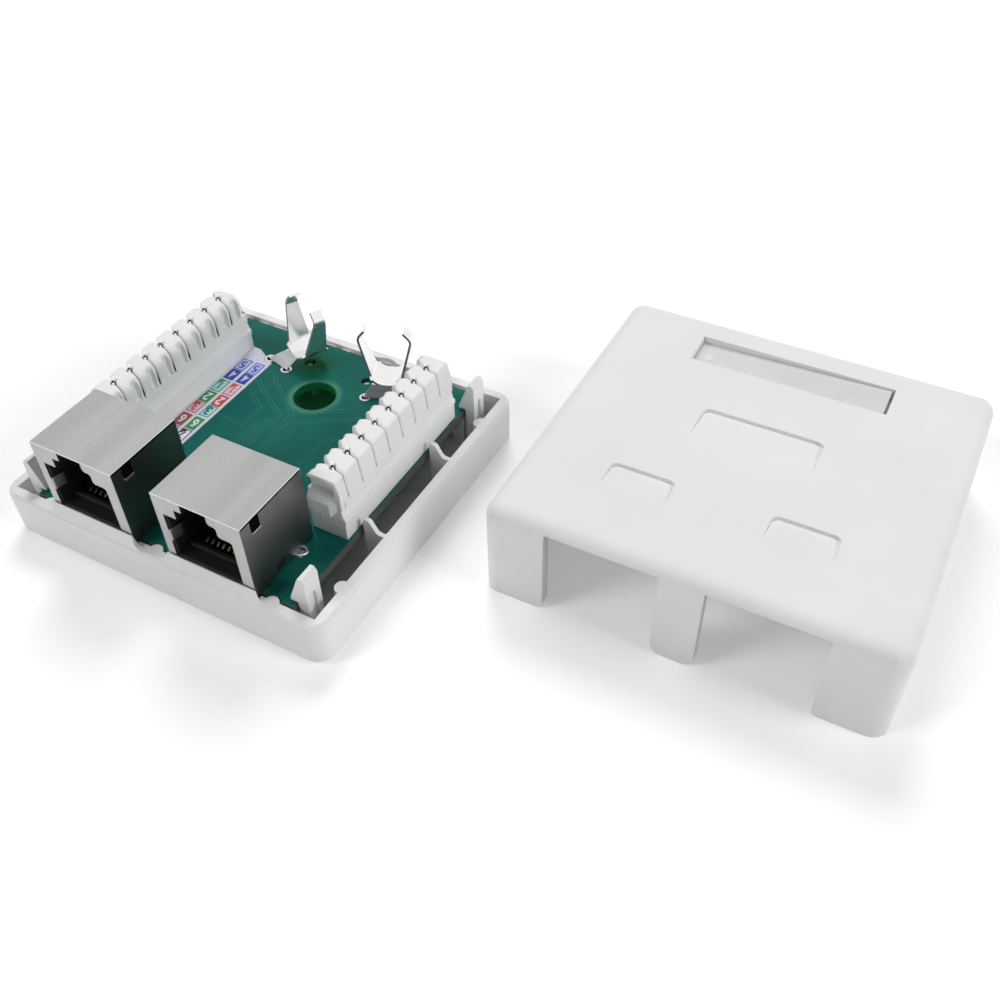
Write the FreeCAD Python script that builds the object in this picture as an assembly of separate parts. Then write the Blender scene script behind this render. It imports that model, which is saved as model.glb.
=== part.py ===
import FreeCAD, Part
import math
import os

# Two-port surface mount jack box: a base tray with a circuit board, two shielded jacks,
# two punch-down blocks and two cable clips, and its clip-on cover lying beside it.
# Millimetres. The origin is the middle of the tray's underside. The jacks face -Y and
# +Z points away from the wall that the tray is screwed to.

Vector = FreeCAD.Vector

# Base tray
tray_width = 62.6
tray_depth = 59.2
tray_height = 8.9
tray_wall = 1.95
tray_floor = 1.8
tray_corner = 3.0
tray_foot_bevel = 0.9
tray_rim_bevel = 0.5
post_height = 5.38
post_width = 2.4
post_inset = 0.2
screw_hole = 4.2
peg_clearance = 0.25
peg_rise = 0.9
peg_sides = 16

# Board hooks of the tray
hook_gap = 0.3
hook_thick = 1.8
hook_width = 3.3
hook_reach = 1.25
hook_lift = 0.32
hook_nose = 0.5
hook_height = 5.7
hook_crest = 0.7
hook_shoulder = 0.7
hook_front_inset = 3.0
hook_rear_inset = 3.85
groove_width = 1.0
groove_depth = 0.5
groove_rise = 1.9

# Gusset ribs and rim pips of the tray
rib_thick = 0.8
rib_gap = 0.6
rib_rise = 2.3
rib_crest = 1.1
rib_y = (-9.25, 10.2)
pip_radius = 1.2
front_pip_x = 21.9
side_pip_y = (-20.8, 20.5)
pip_clearance = 0.2
pip_sides = 16

# Rear ledge and thumb scoop of the tray
ledge_left = -23.0
ledge_right = -2.0
ledge_gap = 0.15
ledge_drop = 0.6
ledge_notch = 1.6
ledge_notch_depth = 0.7
ledge_notches = 4
scoop_x = 6.0
scoop_length = 4.0
scoop_depth = 0.65
scoop_height = 0.8

# Sills of the tray, in front of the jacks
sill_gap = 0.12
sill_half = 8.25
sill_rise = 1.9
sill_set = 0.3
sill_crest = 0.15
sill_inner_round = 2.0
sill_outer_round = 1.0
sill_step = 0.4

# Circuit board
board_thick = 1.6
board_side_gap = 4.15
board_front_gap = 0.45
board_rear_gap = 0.85
access_hole = 7.5
front_access_hole = 6.0
access_y = 13.4
pin_hole = 0.95
tail_length = 1.2
hole_sides = 4
ring_sides = 12
peg_holes = ((-6.32, 5.93, 2.0), (5.75, 5.74, 1.8))

# Jacks
jack_offset = 11.67
jack_width = 16.0
jack_depth = 13.97
jack_height = 14.55
jack_overhang = 1.13
sheet = 0.3
sheet_fold = 0.25
seam_width = 0.12
seam_depth = 0.14
jack_clearance = 0.05
mouth_shift = -0.34
mouth_half = 6.24
mouth_bottom = 1.72
mouth_top = 10.77
key_half = 3.8
key_top = 12.62
latch_half = 2.35
mouth_round = 0.55
side_window_y = 2.25
side_window_length = 1.6
side_window_height = 2.8
side_window_drop = 0.3
foot_cut_y = 5.23
foot_cut_length = 2.2
foot_cut_height = 2.3
foot_slot_y = 2.1
foot_slot_length = 0.3
shield_tab_y = 10.1
shield_tab_width = 1.1
shield_tab_length = 2.6
cavity_half = 5.95
cavity_depth = 12.3
finger_bottom = 5.1
finger_height = 2.3
finger_reach = 5.1
finger_bulge = 0.6
finger_thick = 0.22

# Contact carrier of a jack and its eight wires
carrier_front = 2.3
carrier_half = 5.6
carrier_bottom = 0.5
carrier_top = 2.1
carrier_ridge = 3.2
ridge_thick = 0.6
comb_wall = 0.9
comb_wall_top = 8.2
comb_slot = 0.5
comb_slot_bottom = 5.3
wires = 8
wire_pitch = 1.02
wire_width = 0.36
wire_thick = 0.28
wire_bend = 0.55
wire_front = 1.3
wire_end_rise = 3.6
wire_end_y = 11.2
wire_row_front = 7.6
wire_row_rear = 9.8

# Punch-down blocks
ways = 8
block_end = 2.97
block_jack_gap = 1.86
block_edge_gap = 0.45
block_rear_gap = 6.9
base_half = 3.2
base_wall = 3.9
base_top_half = 2.75
base_height = 5.7
channel_half = 1.55
channel_floor = 2.1
comb_clearance = 0.05
comb_half = 3.0
comb_shoulder = 9.1
comb_top_half = 2.5
comb_height = 11.8
tooth_ease = 1.3
slit_width = 0.4
slit_bottom = 7.35
slit_mouth = 1.5
slit_throat_half = 1.3
pocket_radius = 0.85
pocket_sides = 8
flute_radius = 0.75
flute_depth = 0.3
flute_bottom = 8.7
flute_sides = 12
end_chamfer = 0.8
end_recess = 0.9
end_recess_right = 1.9
end_recess_bottom = 9.0
end_recess_top = 11.1
lip_bottom = 3.8
lip_top = 6.5
lip_reach = 0.6
lip_notch = 1.0
blade_width = 1.5
blade_thick = 0.4
blade_slot = 0.3
blade_slot_depth = 4.0
blade_top = 11.55
blade_turn = -45.0
blade_tail = 0.5
blade_nose = 0.3

# Cable clips
clip_right_x = 10.38
clip_right_gap = 4.89
clip_right_turn = 20.6
clip_right_lean = 0.0
clip_right_pins = ((-3.78, -3.66), (0.92, -3.5))
clip_left_x = -6.78
clip_left_gap = 5.84
clip_left_turn = -21.45
clip_left_lean = 5.8
clip_left_pins = ((-5.35, -4.75), (-0.68, -4.33))
clip_length = 5.4
clip_sheet = 0.4
clip_bottom = 2.1
clip_foot_half = 2.35
clip_bend_half = 4.68
clip_bend_height = 10.7
clip_tip_half = 3.35
clip_tip_height = 12.25
clip_throat_round = 2.6
clip_bend_round = 1.4
clip_flare_height = 3.2
arm_root_height = 3.6
arm_root_width = 4.3
arm_tip_width = 2.15
foot_left = -2.6
foot_right = 0.9
foot_overlap = 0.35
foot_end = 0.3
pin_width = 0.55
pin_thick = 0.4

# Plated pads on the board
pad_ring = 2.1
pad_ring_hole = 1.35
pad_height = 0.12

# Wiring label
label_width = 5.9
label_gap = 0.05
label_thick = 0.15
label_front_gap = 0.5
label_rear_gap = 0.1
label_chamfer_x = 4.3
label_chamfer_y = 2.5

# Cover
cover_height = 17.8
cover_wall = 1.8
cover_top = 1.6
cover_round = 2.7
cover_gap = 11.83
cover_shift = 25.56
cover_yaw = 0.83
leg_round = 1.2
leg_gap = 0.05
catch_width = 0.7
catch_height = 1.6
catch_gap = 0.2

# Recesses in the cover's top
window_left = -16.3
window_right = 16.2
window_rear_margin = 5.9
window_span = 6.7
window_depth = 1.9
window_floor = 0.6
window_gap = 0.1
window_thick = 0.55
window_rise = 0.85
finger_gap = 0.5
card_thick = 0.15
card_gap = 0.3
badge_half = 9.65
badge_front = -1.5
badge_rear = 6.0
port_left = (-17.7, -7.5)
port_right = (7.2, 17.3)
port_margin = 12.3
port_span = 5.2
recess_depth = 0.5
recess_round = 1.2

# Places worked out from the sizes above
inner_half_width = tray_width / 2 - tray_wall
inner_half_depth = tray_depth / 2 - tray_wall
board_half = inner_half_width - board_side_gap
board_front = -inner_half_depth + board_front_gap
board_rear = inner_half_depth - board_rear_gap
board_bottom = tray_floor + post_height
board_top = board_bottom + board_thick
jack_front = board_front - jack_overhang
jack_half = jack_width / 2
block_front = jack_front + jack_depth + block_jack_gap
block_rear = board_rear - block_rear_gap
block_length = block_rear - block_front
way_pitch = (block_length - 2 * block_end) / (ways - 1)
block_x = board_half - block_edge_gap - base_half
block_y = (block_front + block_rear) / 2
window_rear = tray_depth / 2 - window_rear_margin
window_front = window_rear - window_span
port_front = -tray_depth / 2 + port_margin
port_rear = port_front + port_span
hook_inner = board_half + hook_gap
hook_outer = hook_inner + hook_thick
sill_inner_end = jack_offset - sill_half
sill_outer_end = jack_offset + sill_half
cover_x = tray_width + cover_gap


def box(x0, x1, y0, y1, z0, z1):
    """A block between two corners."""
    return Part.makeBox(x1 - x0, y1 - y0, z1 - z0, Vector(x0, y0, z0))


def rod(radius, x, y, z0, z1):
    """An upright round bar."""
    return Part.makeCylinder(radius, z1 - z0, Vector(x, y, z0))


def sided_rod(sides, radius, x, y, z0, z1):
    """An upright bar with a few flat sides, for small holes and rings that repeat."""
    turn = 2 * math.pi / sides
    outline = [(x + radius * math.cos((i + 0.5) * turn), y + radius * math.sin((i + 0.5) * turn))
               for i in range(sides)]
    return along_z(outline, z0, z1)


def rounded_wire(points, radii):
    """A closed outline through the points, with each corner rounded by its own radius."""
    edges = []
    count = len(points)
    starts = []
    ends = []
    for i in range(count):
        here = points[i]
        before = points[i - 1] - here
        after = points[(i + 1) % count] - here
        before.normalize()
        after.normalize()
        half = before.getAngle(after) / 2
        reach = radii[i] / math.tan(half) if radii[i] > 0 else 0.0
        starts.append(here + before * reach)
        ends.append(here + after * reach)
        if radii[i] > 0:
            middle = before + after
            middle.normalize()
            centre = here + middle * (radii[i] / math.sin(half))
            edges.append(Part.Arc(starts[i], centre - middle * radii[i], ends[i]).toShape())
        else:
            edges.append(None)
    outline = []
    for i in range(count):
        if edges[i] is not None:
            outline.append(edges[i])
        following = starts[(i + 1) % count]
        if (following - ends[i]).Length > 1e-6:
            outline.append(Part.makeLine(ends[i], following))
    return Part.Wire(outline)


def prism(points, direction, radii=None):
    """A solid of one outline carried straight along a direction."""
    radii = radii or [0.0] * len(points)
    face = Part.Face(rounded_wire(points, radii))
    return face.extrude(direction)


def along_x(profile, x0, x1, radii=None):
    """An outline of (y, z) points carried along X."""
    points = [Vector(x0, y, z) for y, z in profile]
    return prism(points, Vector(x1 - x0, 0, 0), radii)


def along_y(profile, y0, y1, radii=None):
    """An outline of (x, z) points carried along Y."""
    points = [Vector(x, y0, z) for x, z in profile]
    return prism(points, Vector(0, y1 - y0, 0), radii)


def along_z(profile, z0, z1, radii=None):
    """An outline of (x, y) points carried along Z."""
    points = [Vector(x, y, z0) for x, y in profile]
    return prism(points, Vector(0, 0, z1 - z0), radii)


def bent_strip(path, bends, thick, width):
    """A sheet strip bent along (a, z) points, centred on y = 0, with a radius at each bend."""
    left = []
    right = []
    left_radii = []
    right_radii = []
    last = len(path) - 1
    for i, (a, z) in enumerate(path):
        here = Vector(a, 0, z)
        before = here - Vector(path[i - 1][0], 0, path[i - 1][1]) if i > 0 else None
        after = Vector(path[i + 1][0], 0, path[i + 1][1]) - here if i < last else None
        before = before or after
        after = after or before
        before.normalize()
        after.normalize()
        side_before = Vector(-before.z, 0, before.x)
        side_after = Vector(-after.z, 0, after.x)
        side = side_before + side_after
        side.normalize()
        reach = thick / 2 / side.dot(side_before)
        left.append(here + side * reach)
        right.append(here - side * reach)
        turn = before.x * after.z - before.z * after.x
        bend = bends[i]
        inner = max(bend - thick / 2, 0.0) if bend > 0 else 0.0
        outer = bend + thick / 2 if bend > 0 else 0.0
        left_radii.append(inner if turn > 0 else outer)
        right_radii.append(outer if turn > 0 else inner)
    points = left + right[::-1]
    radii = left_radii + right_radii[::-1]
    shift = Vector(0, -width / 2, 0)
    strip = prism([p + shift for p in points], Vector(0, width, 0), radii)
    return strip


def mirrored(shape):
    """The same shape on the other side of the tray."""
    return shape.mirror(Vector(0, 0, 0), Vector(1, 0, 0))


def turned(shape, degrees, x, y, z):
    """A shape turned about its own upright axis and set down at a place."""
    placed = shape.copy()
    placed.rotate(Vector(0, 0, 0), Vector(0, 0, 1), degrees)
    placed.translate(Vector(x, y, z))
    return placed


def upright_edges(shape):
    """The straight vertical edges."""
    found = []
    for edge in shape.Edges:
        ends = [v.Point for v in edge.Vertexes]
        if len(ends) == 2 and abs(ends[0].x - ends[1].x) + abs(ends[0].y - ends[1].y) < 1e-6:
            found.append(edge)
    return found


def level_edges(shape, z):
    """The edges that lie in one level plane."""
    return [e for e in shape.Edges if all(abs(v.Point.z - z) < 1e-6 for v in e.Vertexes)]


def tray_block():
    """The tray's outside: rounded upright corners, a bevelled rim and a bevelled foot."""
    block = box(-tray_width / 2, tray_width / 2, -tray_depth / 2, tray_depth / 2, 0, tray_height)
    block = block.makeFillet(tray_corner, upright_edges(block))
    block = block.makeChamfer(tray_foot_bevel, level_edges(block, 0))
    return block.makeChamfer(tray_rim_bevel, level_edges(block, tray_height))


def cover_block():
    """The cover's outside: one radius round its upright corners and its top edge."""
    block = box(-tray_width / 2, tray_width / 2, -tray_depth / 2, tray_depth / 2, 0, cover_height)
    return block.makeFillet(cover_round, upright_edges(block) + level_edges(block, cover_height))


def one_solid(shape):
    """The single clean solid of a fused or cut shape."""
    clean = shape.removeSplitter()
    return clean.Solids[0] if len(clean.Solids) == 1 else clean


def jack_sides():
    """The name and the place along X of each jack."""
    return (("left", -jack_offset), ("right", jack_offset))


def hook_places():
    """The lowest Y of each hook on one side of the tray."""
    front = -inner_half_depth + hook_front_inset - hook_width / 2
    rear = inner_half_depth - hook_rear_inset - hook_width / 2
    return (front, rear)


def hook():
    """A board hook: a stem with a slanted barb over the board and a groove in its back."""
    under = board_top + hook_lift
    crest = board_top + hook_height
    profile = [
        (hook_inner, tray_floor - 0.1),
        (hook_inner, under),
        (hook_inner - hook_reach, under),
        (hook_inner - hook_reach, under + hook_nose),
        (hook_outer - hook_crest - 0.4, crest),
        (hook_outer - 0.4, crest),
        (hook_outer, crest - hook_shoulder),
        (hook_outer, tray_floor - 0.1),
    ]
    stem = along_y(profile, 0, hook_width)
    groove_top = tray_height + groove_rise
    middle = hook_width / 2
    half = groove_width / 2
    groove = along_x([(middle - half, tray_floor), (middle - half, groove_top - half),
                      (middle - half / 2, groove_top), (middle + half / 2, groove_top),
                      (middle + half, groove_top - half), (middle + half, tray_floor)],
                     hook_outer - groove_depth, hook_outer + 1)
    return stem.cut(groove)


def rib():
    """A gusset rib between the side wall and the board's edge, with an S-shaped top."""
    inner = board_half + rib_gap
    wall = inner_half_width + 0.2
    crest = tray_height + rib_rise
    profile = [
        (inner, tray_floor - 0.1),
        (inner, crest),
        (inner + rib_crest, crest),
        (wall - 1.4, tray_height),
        (wall, tray_height),
        (wall, tray_floor - 0.1),
    ]
    return along_y(profile, -rib_thick / 2, rib_thick / 2, [0, 0.4, 0.9, 0.9, 0, 0])


def sill():
    """The raised lip in front of one jack, sloping up and back from the rim."""
    front = -tray_depth / 2 + sill_set
    back = jack_front - sill_gap
    crest = tray_height + sill_rise
    low = tray_height - sill_step - 0.1
    section = [(front, low), (front, tray_height), (back - sill_crest, crest), (back, crest),
               (back, low)]
    body = along_x(section, sill_inner_end - sill_inner_round, sill_outer_end + sill_outer_round)
    inner = sill_inner_end - sill_inner_round
    outer = sill_outer_end + sill_outer_round
    inner_scoop = Part.makeCylinder(sill_inner_round, 4, Vector(inner, front - 1,
                                    tray_height + sill_inner_round), Vector(0, 1, 0))
    outer_scoop = Part.makeCylinder(sill_outer_round, 4, Vector(outer, front - 1,
                                    tray_height + sill_outer_round), Vector(0, 1, 0))
    outer_gap = box(sill_outer_end, outer + 1, front - 1, back + 1,
                    tray_height + sill_outer_round, crest + 1)
    return body.cut(inner_scoop.fuse(outer_scoop).fuse(outer_gap))


def post_places():
    """The inner lower corner of each board post on one side."""
    x0 = board_half - post_inset - post_width
    return [(x0, y) for y in hook_places()]


def rim_pip_places():
    """The middle and radius of the half-round pips that stand on the front wall."""
    return [(-front_pip_x, pip_radius), (0.0, pip_radius), (front_pip_x, pip_radius)]


def base_tray():
    """The moulded tray with hooks, ribs, pips, sills, posts and screw bosses."""
    tray = tray_block()
    tray = tray.cut(box(-inner_half_width, inner_half_width, -inner_half_depth, inner_half_depth,
                        tray_floor, tray_height + 1))
    added = []
    for y in hook_places():
        one = hook()
        one.translate(Vector(0, y, 0))
        added += [one, mirrored(one)]
    for y in rib_y:
        one = rib()
        one.translate(Vector(0, y, 0))
        added += [one, mirrored(one)]
    for x, y in post_places():
        one = box(x, x + post_width, y, y + hook_width, tray_floor - 0.1, board_bottom)
        added += [one, mirrored(one)]
    for y in side_pip_y:
        one = sided_rod(pip_sides, pip_radius, inner_half_width, y, tray_floor - 0.1,
                        tray_height)
        one = one.common(box(0, inner_half_width + 0.5, -tray_depth, tray_depth, 0, tray_height))
        added += [one, mirrored(one)]
    for x, radius in rim_pip_places():
        one = sided_rod(pip_sides, radius, x, -inner_half_depth - 0.3, tray_floor - 0.1,
                        tray_height)
        keep = box(-tray_width, tray_width, -inner_half_depth - 0.5, tray_depth, 0, tray_height)
        added.append(one.common(keep))
    for x, inset, size in peg_holes:
        radius = size / 2 - peg_clearance
        added.append(sided_rod(peg_sides, radius, x, board_rear - inset, tray_floor - 0.1,
                               board_bottom + peg_rise))
    ledge_y = board_rear + ledge_gap
    added.append(box(ledge_left, ledge_right, ledge_y, inner_half_depth + 0.1, tray_floor - 0.1,
                     tray_height - ledge_drop))
    tray = tray.multiFuse(added)
    cuts = []
    step_bottom = tray_height - sill_step
    seat_front = jack_front - sill_gap
    for x in (-jack_offset, jack_offset):
        cuts.append(box(x - sill_half, x + sill_half, seat_front, -inner_half_depth + 0.1,
                        step_bottom, tray_height + 1))
    for i in range(ledge_notches):
        x = ledge_left + (i + 0.5) * (ledge_right - ledge_left) / ledge_notches
        cuts.append(box(x - ledge_notch / 2, x + ledge_notch / 2, ledge_y - 0.1,
                        inner_half_depth, tray_height - ledge_drop - ledge_notch_depth,
                        tray_height - ledge_drop + 0.1))
    scoop_radius = (scoop_length ** 2 / 4 + scoop_depth ** 2) / (2 * scoop_depth)
    cuts.append(rod(scoop_radius, scoop_x, inner_half_depth + scoop_depth - scoop_radius,
                    tray_height - scoop_height, tray_height + 1))
    for y in (-access_y, access_y):
        cuts.append(rod(screw_hole / 2, 0, y, -1, tray_height))
    tray = tray.cut(Part.makeCompound(cuts[:2]))
    tray = tray.cut(cuts[2:])
    tray = tray.multiFuse([sill(), mirrored(sill())])
    return one_solid(tray)


def wire_places():
    """The place across a jack and the tail row of each contact wire."""
    first = -(wires - 1) * wire_pitch / 2
    places = []
    for i in range(wires):
        row = wire_row_front if i % 2 == 0 else wire_row_rear
        places.append((first + i * wire_pitch, row))
    return places


def way_places():
    """The place along a punch-down block of each contact."""
    first = -(ways - 1) * way_pitch / 2
    return [first + i * way_pitch for i in range(ways)]


def clip_stands():
    """For each clip its side, place, turn, lean and the places of its pins beside its middle."""
    return (("left", clip_left_x, board_rear - clip_left_gap, clip_left_turn, clip_left_lean,
             clip_left_pins),
            ("right", clip_right_x, board_rear - clip_right_gap, clip_right_turn,
             clip_right_lean, clip_right_pins))


def clip_pin_places():
    """The place of each clip pin on the board."""
    places = []
    for _, x, y, turn, _, pins in clip_stands():
        rotation = FreeCAD.Rotation(Vector(0, 0, 1), turn)
        for across, along in pins:
            places.append(rotation.multVec(Vector(across, along, 0)) + Vector(x, y, 0))
    return places


def tab_places():
    """The place of each shield tab on the board, beside each jack."""
    places = []
    for _, x in jack_sides():
        for side in (-1, 1):
            places.append((x + side * (jack_half - sheet / 2), jack_front + shield_tab_y))
    return places


def circuit_board():
    """The board with access holes, peg holes, pin holes and notches for the front pips."""
    board = box(-board_half, board_half, board_front, board_rear, board_bottom, board_top)
    low = board_bottom - 1
    high = board_top + 1
    cuts = [rod(access_hole / 2, 0, access_y, low, high),
            rod(front_access_hole / 2, 0, -access_y, low, high)]
    for x, inset, size in peg_holes:
        cuts.append(sided_rod(peg_sides, size / 2, x, board_rear - inset, low, high))
    for _, jack_x in jack_sides():
        for x, y in wire_places():
            cuts.append(sided_rod(hole_sides, pin_hole / 2, jack_x + x, jack_front + y, low, high))
    for x in (-block_x, block_x):
        for y in way_places():
            cuts.append(sided_rod(hole_sides, pin_hole / 2, x, block_y + y, low, high))
    for place in clip_pin_places():
        cuts.append(sided_rod(ring_sides, pad_ring_hole / 2, place.x, place.y, low, high))
    slot = shield_tab_width / 2 + 0.2
    for x, y in tab_places():
        cuts.append(box(x - sheet, x + sheet, y - slot, y + slot, low, high))
    for x, radius in rim_pip_places():
        cuts.append(sided_rod(pip_sides, radius + pip_clearance, x, -inner_half_depth - 0.3,
                              low, high))
    return one_solid(board.cut(cuts))


def mouth_outline():
    """The stepped opening in the front of a jack: square steps left, rounded steps right."""
    left = [(-mouth_half, mouth_top), (-key_half, mouth_top), (-key_half, key_top),
            (-latch_half, key_top), (-latch_half, jack_height - sheet)]
    right = [(-x, z) for x, z in left][::-1]
    points = [(-mouth_half, mouth_bottom)] + left + right + [(mouth_half, mouth_bottom)]
    rounds = [0, 0, 0, 0, 0, 0, 0, mouth_round, mouth_round, mouth_round, mouth_round, 0]
    return [(x + mouth_shift, z) for x, z in points], rounds


def ground_finger(side):
    """A spring finger bent in from the edge of the jack's mouth."""
    edge = side * mouth_half + mouth_shift
    path = [(edge + side * 0.3, sheet / 2), (edge - side * 0.1, sheet / 2),
            (edge - side * finger_bulge, finger_reach * 0.4), (edge, finger_reach)]
    strip = bent_strip(path, [0, 0.2, 1.2, 0], finger_thick, finger_height)
    strip.rotate(Vector(0, 0, 0), Vector(1, 0, 0), -90)
    box_now = strip.BoundBox
    if box_now.YMax < sheet:
        strip.rotate(Vector(0, 0, 0), Vector(1, 0, 0), 180)
    strip.translate(Vector(0, 0, finger_bottom + finger_height / 2))
    return strip


def jack_shield():
    """The folded sheet shield of a jack: front, top, sides and back, open at the board."""
    shell = box(-jack_half, jack_half, 0, jack_depth, 0, jack_height)
    shell = shell.makeFillet(sheet_fold, level_edges(shell, jack_height))
    hollow = box(-jack_half + sheet, jack_half - sheet, sheet, jack_depth - sheet, -1,
                 jack_height - sheet)
    shell = shell.cut(hollow)
    outline, rounds = mouth_outline()
    cuts = [along_y(outline, -1, sheet + 0.01, rounds)]
    for side in (-1, 1):
        x0 = side * jack_half - 1
        x1 = side * jack_half + 1
        top = jack_height - side_window_drop
        cuts.append(box(x0, x1, side_window_y, side_window_y + side_window_length,
                        top - side_window_height, top))
        cuts.append(box(x0, x1, foot_cut_y, foot_cut_y + foot_cut_length, -1, foot_cut_height))
        cuts.append(box(x0, x1, foot_slot_y, foot_slot_y + foot_slot_length, -1,
                        foot_cut_height))
        seam = (side * (jack_half - seam_depth), side * (jack_half + 1))
        cuts.append(box(min(seam), max(seam), sheet_fold, jack_depth - sheet_fold,
                        jack_height - sheet - seam_width, jack_height - sheet))
    shell = shell.cut(cuts)
    added = []
    for side in (-1, 1):
        x0 = side * (jack_half - sheet / 2) - sheet / 2
        half = shield_tab_width / 2
        added.append(box(x0, x0 + sheet, shield_tab_y - half, shield_tab_y + half,
                         -shield_tab_length, 0.2))
        added.append(ground_finger(side))
    return one_solid(shell.multiFuse(added))


def jack_housing():
    """The black plastic body of a jack, with a stepped mouth and a floor for the carrier."""
    half = jack_half - sheet - jack_clearance
    front = sheet + jack_clearance
    back = jack_depth - sheet - jack_clearance
    top = jack_height - sheet - jack_clearance
    body = box(-half, half, front, back, 0, top)
    outline = [(-cavity_half, carrier_top), (-cavity_half, mouth_top + 0.1),
               (-key_half, mouth_top + 0.1), (-key_half, key_top + 0.1),
               (-latch_half, key_top + 0.1), (-latch_half, top - 0.3)]
    outline = outline + [(-x, z) for x, z in outline][::-1]
    mouth = along_y([(x + mouth_shift, z) for x, z in outline], -1, cavity_depth)
    seat = box(-carrier_half - 0.1, carrier_half + 0.1, carrier_front - 0.1, cavity_depth, -1,
               carrier_top + 0.1)
    pocket_half = cavity_half + 1.0
    finger_pocket = box(mouth_shift - pocket_half, mouth_shift + pocket_half, -1,
                        finger_reach + 0.8, finger_bottom - 0.2,
                        finger_bottom + finger_height + 0.2)
    body = body.cut([mouth, seat, finger_pocket])
    return one_solid(body)


def jack_insert():
    """The contact carrier: a floor, a ridge at its front and a slotted wall at its back."""
    back = cavity_depth - jack_clearance
    profile = [(carrier_front, carrier_bottom), (carrier_front, carrier_ridge),
               (carrier_front + ridge_thick, carrier_ridge),
               (carrier_front + ridge_thick, carrier_top), (back - comb_wall, carrier_top),
               (back - comb_wall, comb_wall_top), (back, comb_wall_top), (back, carrier_bottom)]
    body = along_x(profile, -carrier_half, carrier_half)
    cuts = []
    for x, row in wire_places():
        half = comb_slot / 2
        cuts.append(box(x - half, x + half, back - comb_wall - 0.1, back + 0.1,
                        comb_slot_bottom, comb_wall_top + 1))
        cuts.append(box(x - half, x + half, row - half, row + half, carrier_bottom - 1,
                        carrier_top + 1))
    return one_solid(body.cut(cuts))


def jack_contacts():
    """Eight sprung wires: up from the board, forward, round a bend and back up a slope."""
    wires_made = []
    floor_line = carrier_top + wire_thick / 2 + 0.02
    front = carrier_front + ridge_thick + wire_front
    for x, row in wire_places():
        path = [(row, -board_thick - tail_length), (row, floor_line), (front, floor_line),
                (front - wire_bend, floor_line + wire_bend * 0.5),
                (front - wire_bend, floor_line + wire_bend * 1.3),
                (front, floor_line + wire_bend * 1.9), (wire_end_y, floor_line + wire_end_rise)]
        strip = bent_strip(path, [0] * len(path), wire_thick, wire_width)
        strip.rotate(Vector(0, 0, 0), Vector(0, 0, 1), 90)
        strip.translate(Vector(x, 0, 0))
        wires_made.append(strip)
    return Part.makeCompound(wires_made)


def punch_base():
    """The lower half of a punch-down block, with a channel that takes the comb's root."""
    profile = [(-base_half, 0), (-base_half, base_wall), (-base_top_half, base_height),
               (-channel_half, base_height), (-channel_half, channel_floor),
               (channel_half, channel_floor), (channel_half, base_height),
               (base_top_half, base_height), (base_half, base_wall), (base_half, 0)]
    radii = [0, 0.3, 0.2, 0, 0, 0, 0, 0.2, 0.3, 0]
    body = along_y(profile, -block_length / 2, block_length / 2, radii)
    holes = [sided_rod(hole_sides, pin_hole / 2, 0, y, -1, channel_floor + 1)
             for y in way_places()]
    return one_solid(body.cut(holes))


def comb_blank():
    """The comb before its slits: root, body and slanted or rounded tooth tops."""
    root_half = channel_half - comb_clearance
    low = channel_floor + comb_clearance
    under = base_height + comb_clearance
    ease = tooth_ease
    profile = [(-root_half, low), (-root_half, under), (-comb_half, under),
               (-comb_half, comb_height - ease),
               (-comb_half + ease * 0.25, comb_height - ease * 0.25),
               (-comb_half + ease, comb_height), (comb_top_half, comb_height),
               (comb_half, comb_shoulder), (comb_half, under), (root_half, under),
               (root_half, low)]
    return along_y(profile, -block_length / 2, block_length / 2)


def comb_slit():
    """The cutter for one way: a narrow slit across the comb that opens at both faces."""
    half = slit_width / 2
    wide = slit_mouth / 2
    outline = [(-comb_half, -wide), (-slit_throat_half, -half), (slit_throat_half, -half),
               (comb_half, -wide), (comb_half, wide), (slit_throat_half, half),
               (-slit_throat_half, half), (-comb_half, wide)]
    return along_z(outline, slit_bottom, comb_height + 1)


def comb_front():
    """The lip that hooks over the front of the base, with a slanted notch at one end."""
    face = -block_length / 2
    reach = face - lip_reach
    lip = box(-comb_half, comb_half, reach, face - comb_clearance, lip_bottom, lip_top)
    bridge = box(-comb_half, comb_half, reach, face + 0.2, base_height + comb_clearance, lip_top)
    slope = along_x([(reach - 0.1, lip_top - 0.5), (reach - 0.1, lip_top + 0.1),
                     (face, lip_top + 0.1)], -comb_half - 1, comb_half + 1)
    notch = along_y([(comb_half - lip_notch * 2.5, lip_bottom - 0.1), (comb_half + 0.1, lip_top - 0.8),
                     (comb_half + 0.1, lip_bottom - 0.1)], reach - 1, face)
    return lip.fuse(bridge).cut(slope.fuse(notch))


def punch_comb():
    """The comb of nine teeth that guides the wires onto the blades."""
    end = block_length / 2
    comb = comb_blank()
    corner = along_z([(comb_half + 0.1, end - end_chamfer), (comb_half + 0.1, end + 0.1),
                      (comb_half - end_chamfer, end + 0.1)], slit_bottom, comb_height + 1)
    top = comb_height
    back = along_x([(end - 1.1, top + 0.1), (end + 0.1, top + 0.1), (end + 0.1, top - 1.3)],
                   -comb_half - 1, comb_half + 1)
    recess = box(-comb_half - 1, end_recess_right, -end - 1, -end + end_recess,
                 end_recess_bottom, end_recess_top)
    cuts = [corner, back, recess]
    for y in way_places():
        slit = comb_slit()
        slit.translate(Vector(0, y, 0))
        cuts.append(slit)
        cuts.append(sided_rod(pocket_sides, pocket_radius, 0, y, channel_floor - 1,
                              comb_height + 1))
    for i in range(ways + 1):
        y = (i - ways / 2) * way_pitch
        cuts.append(sided_rod(flute_sides, flute_radius, -comb_half - flute_radius + flute_depth,
                              y, flute_bottom, comb_height + 1))
    comb = comb.fuse(comb_front())
    return one_solid(comb.cut(cuts))


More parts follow.
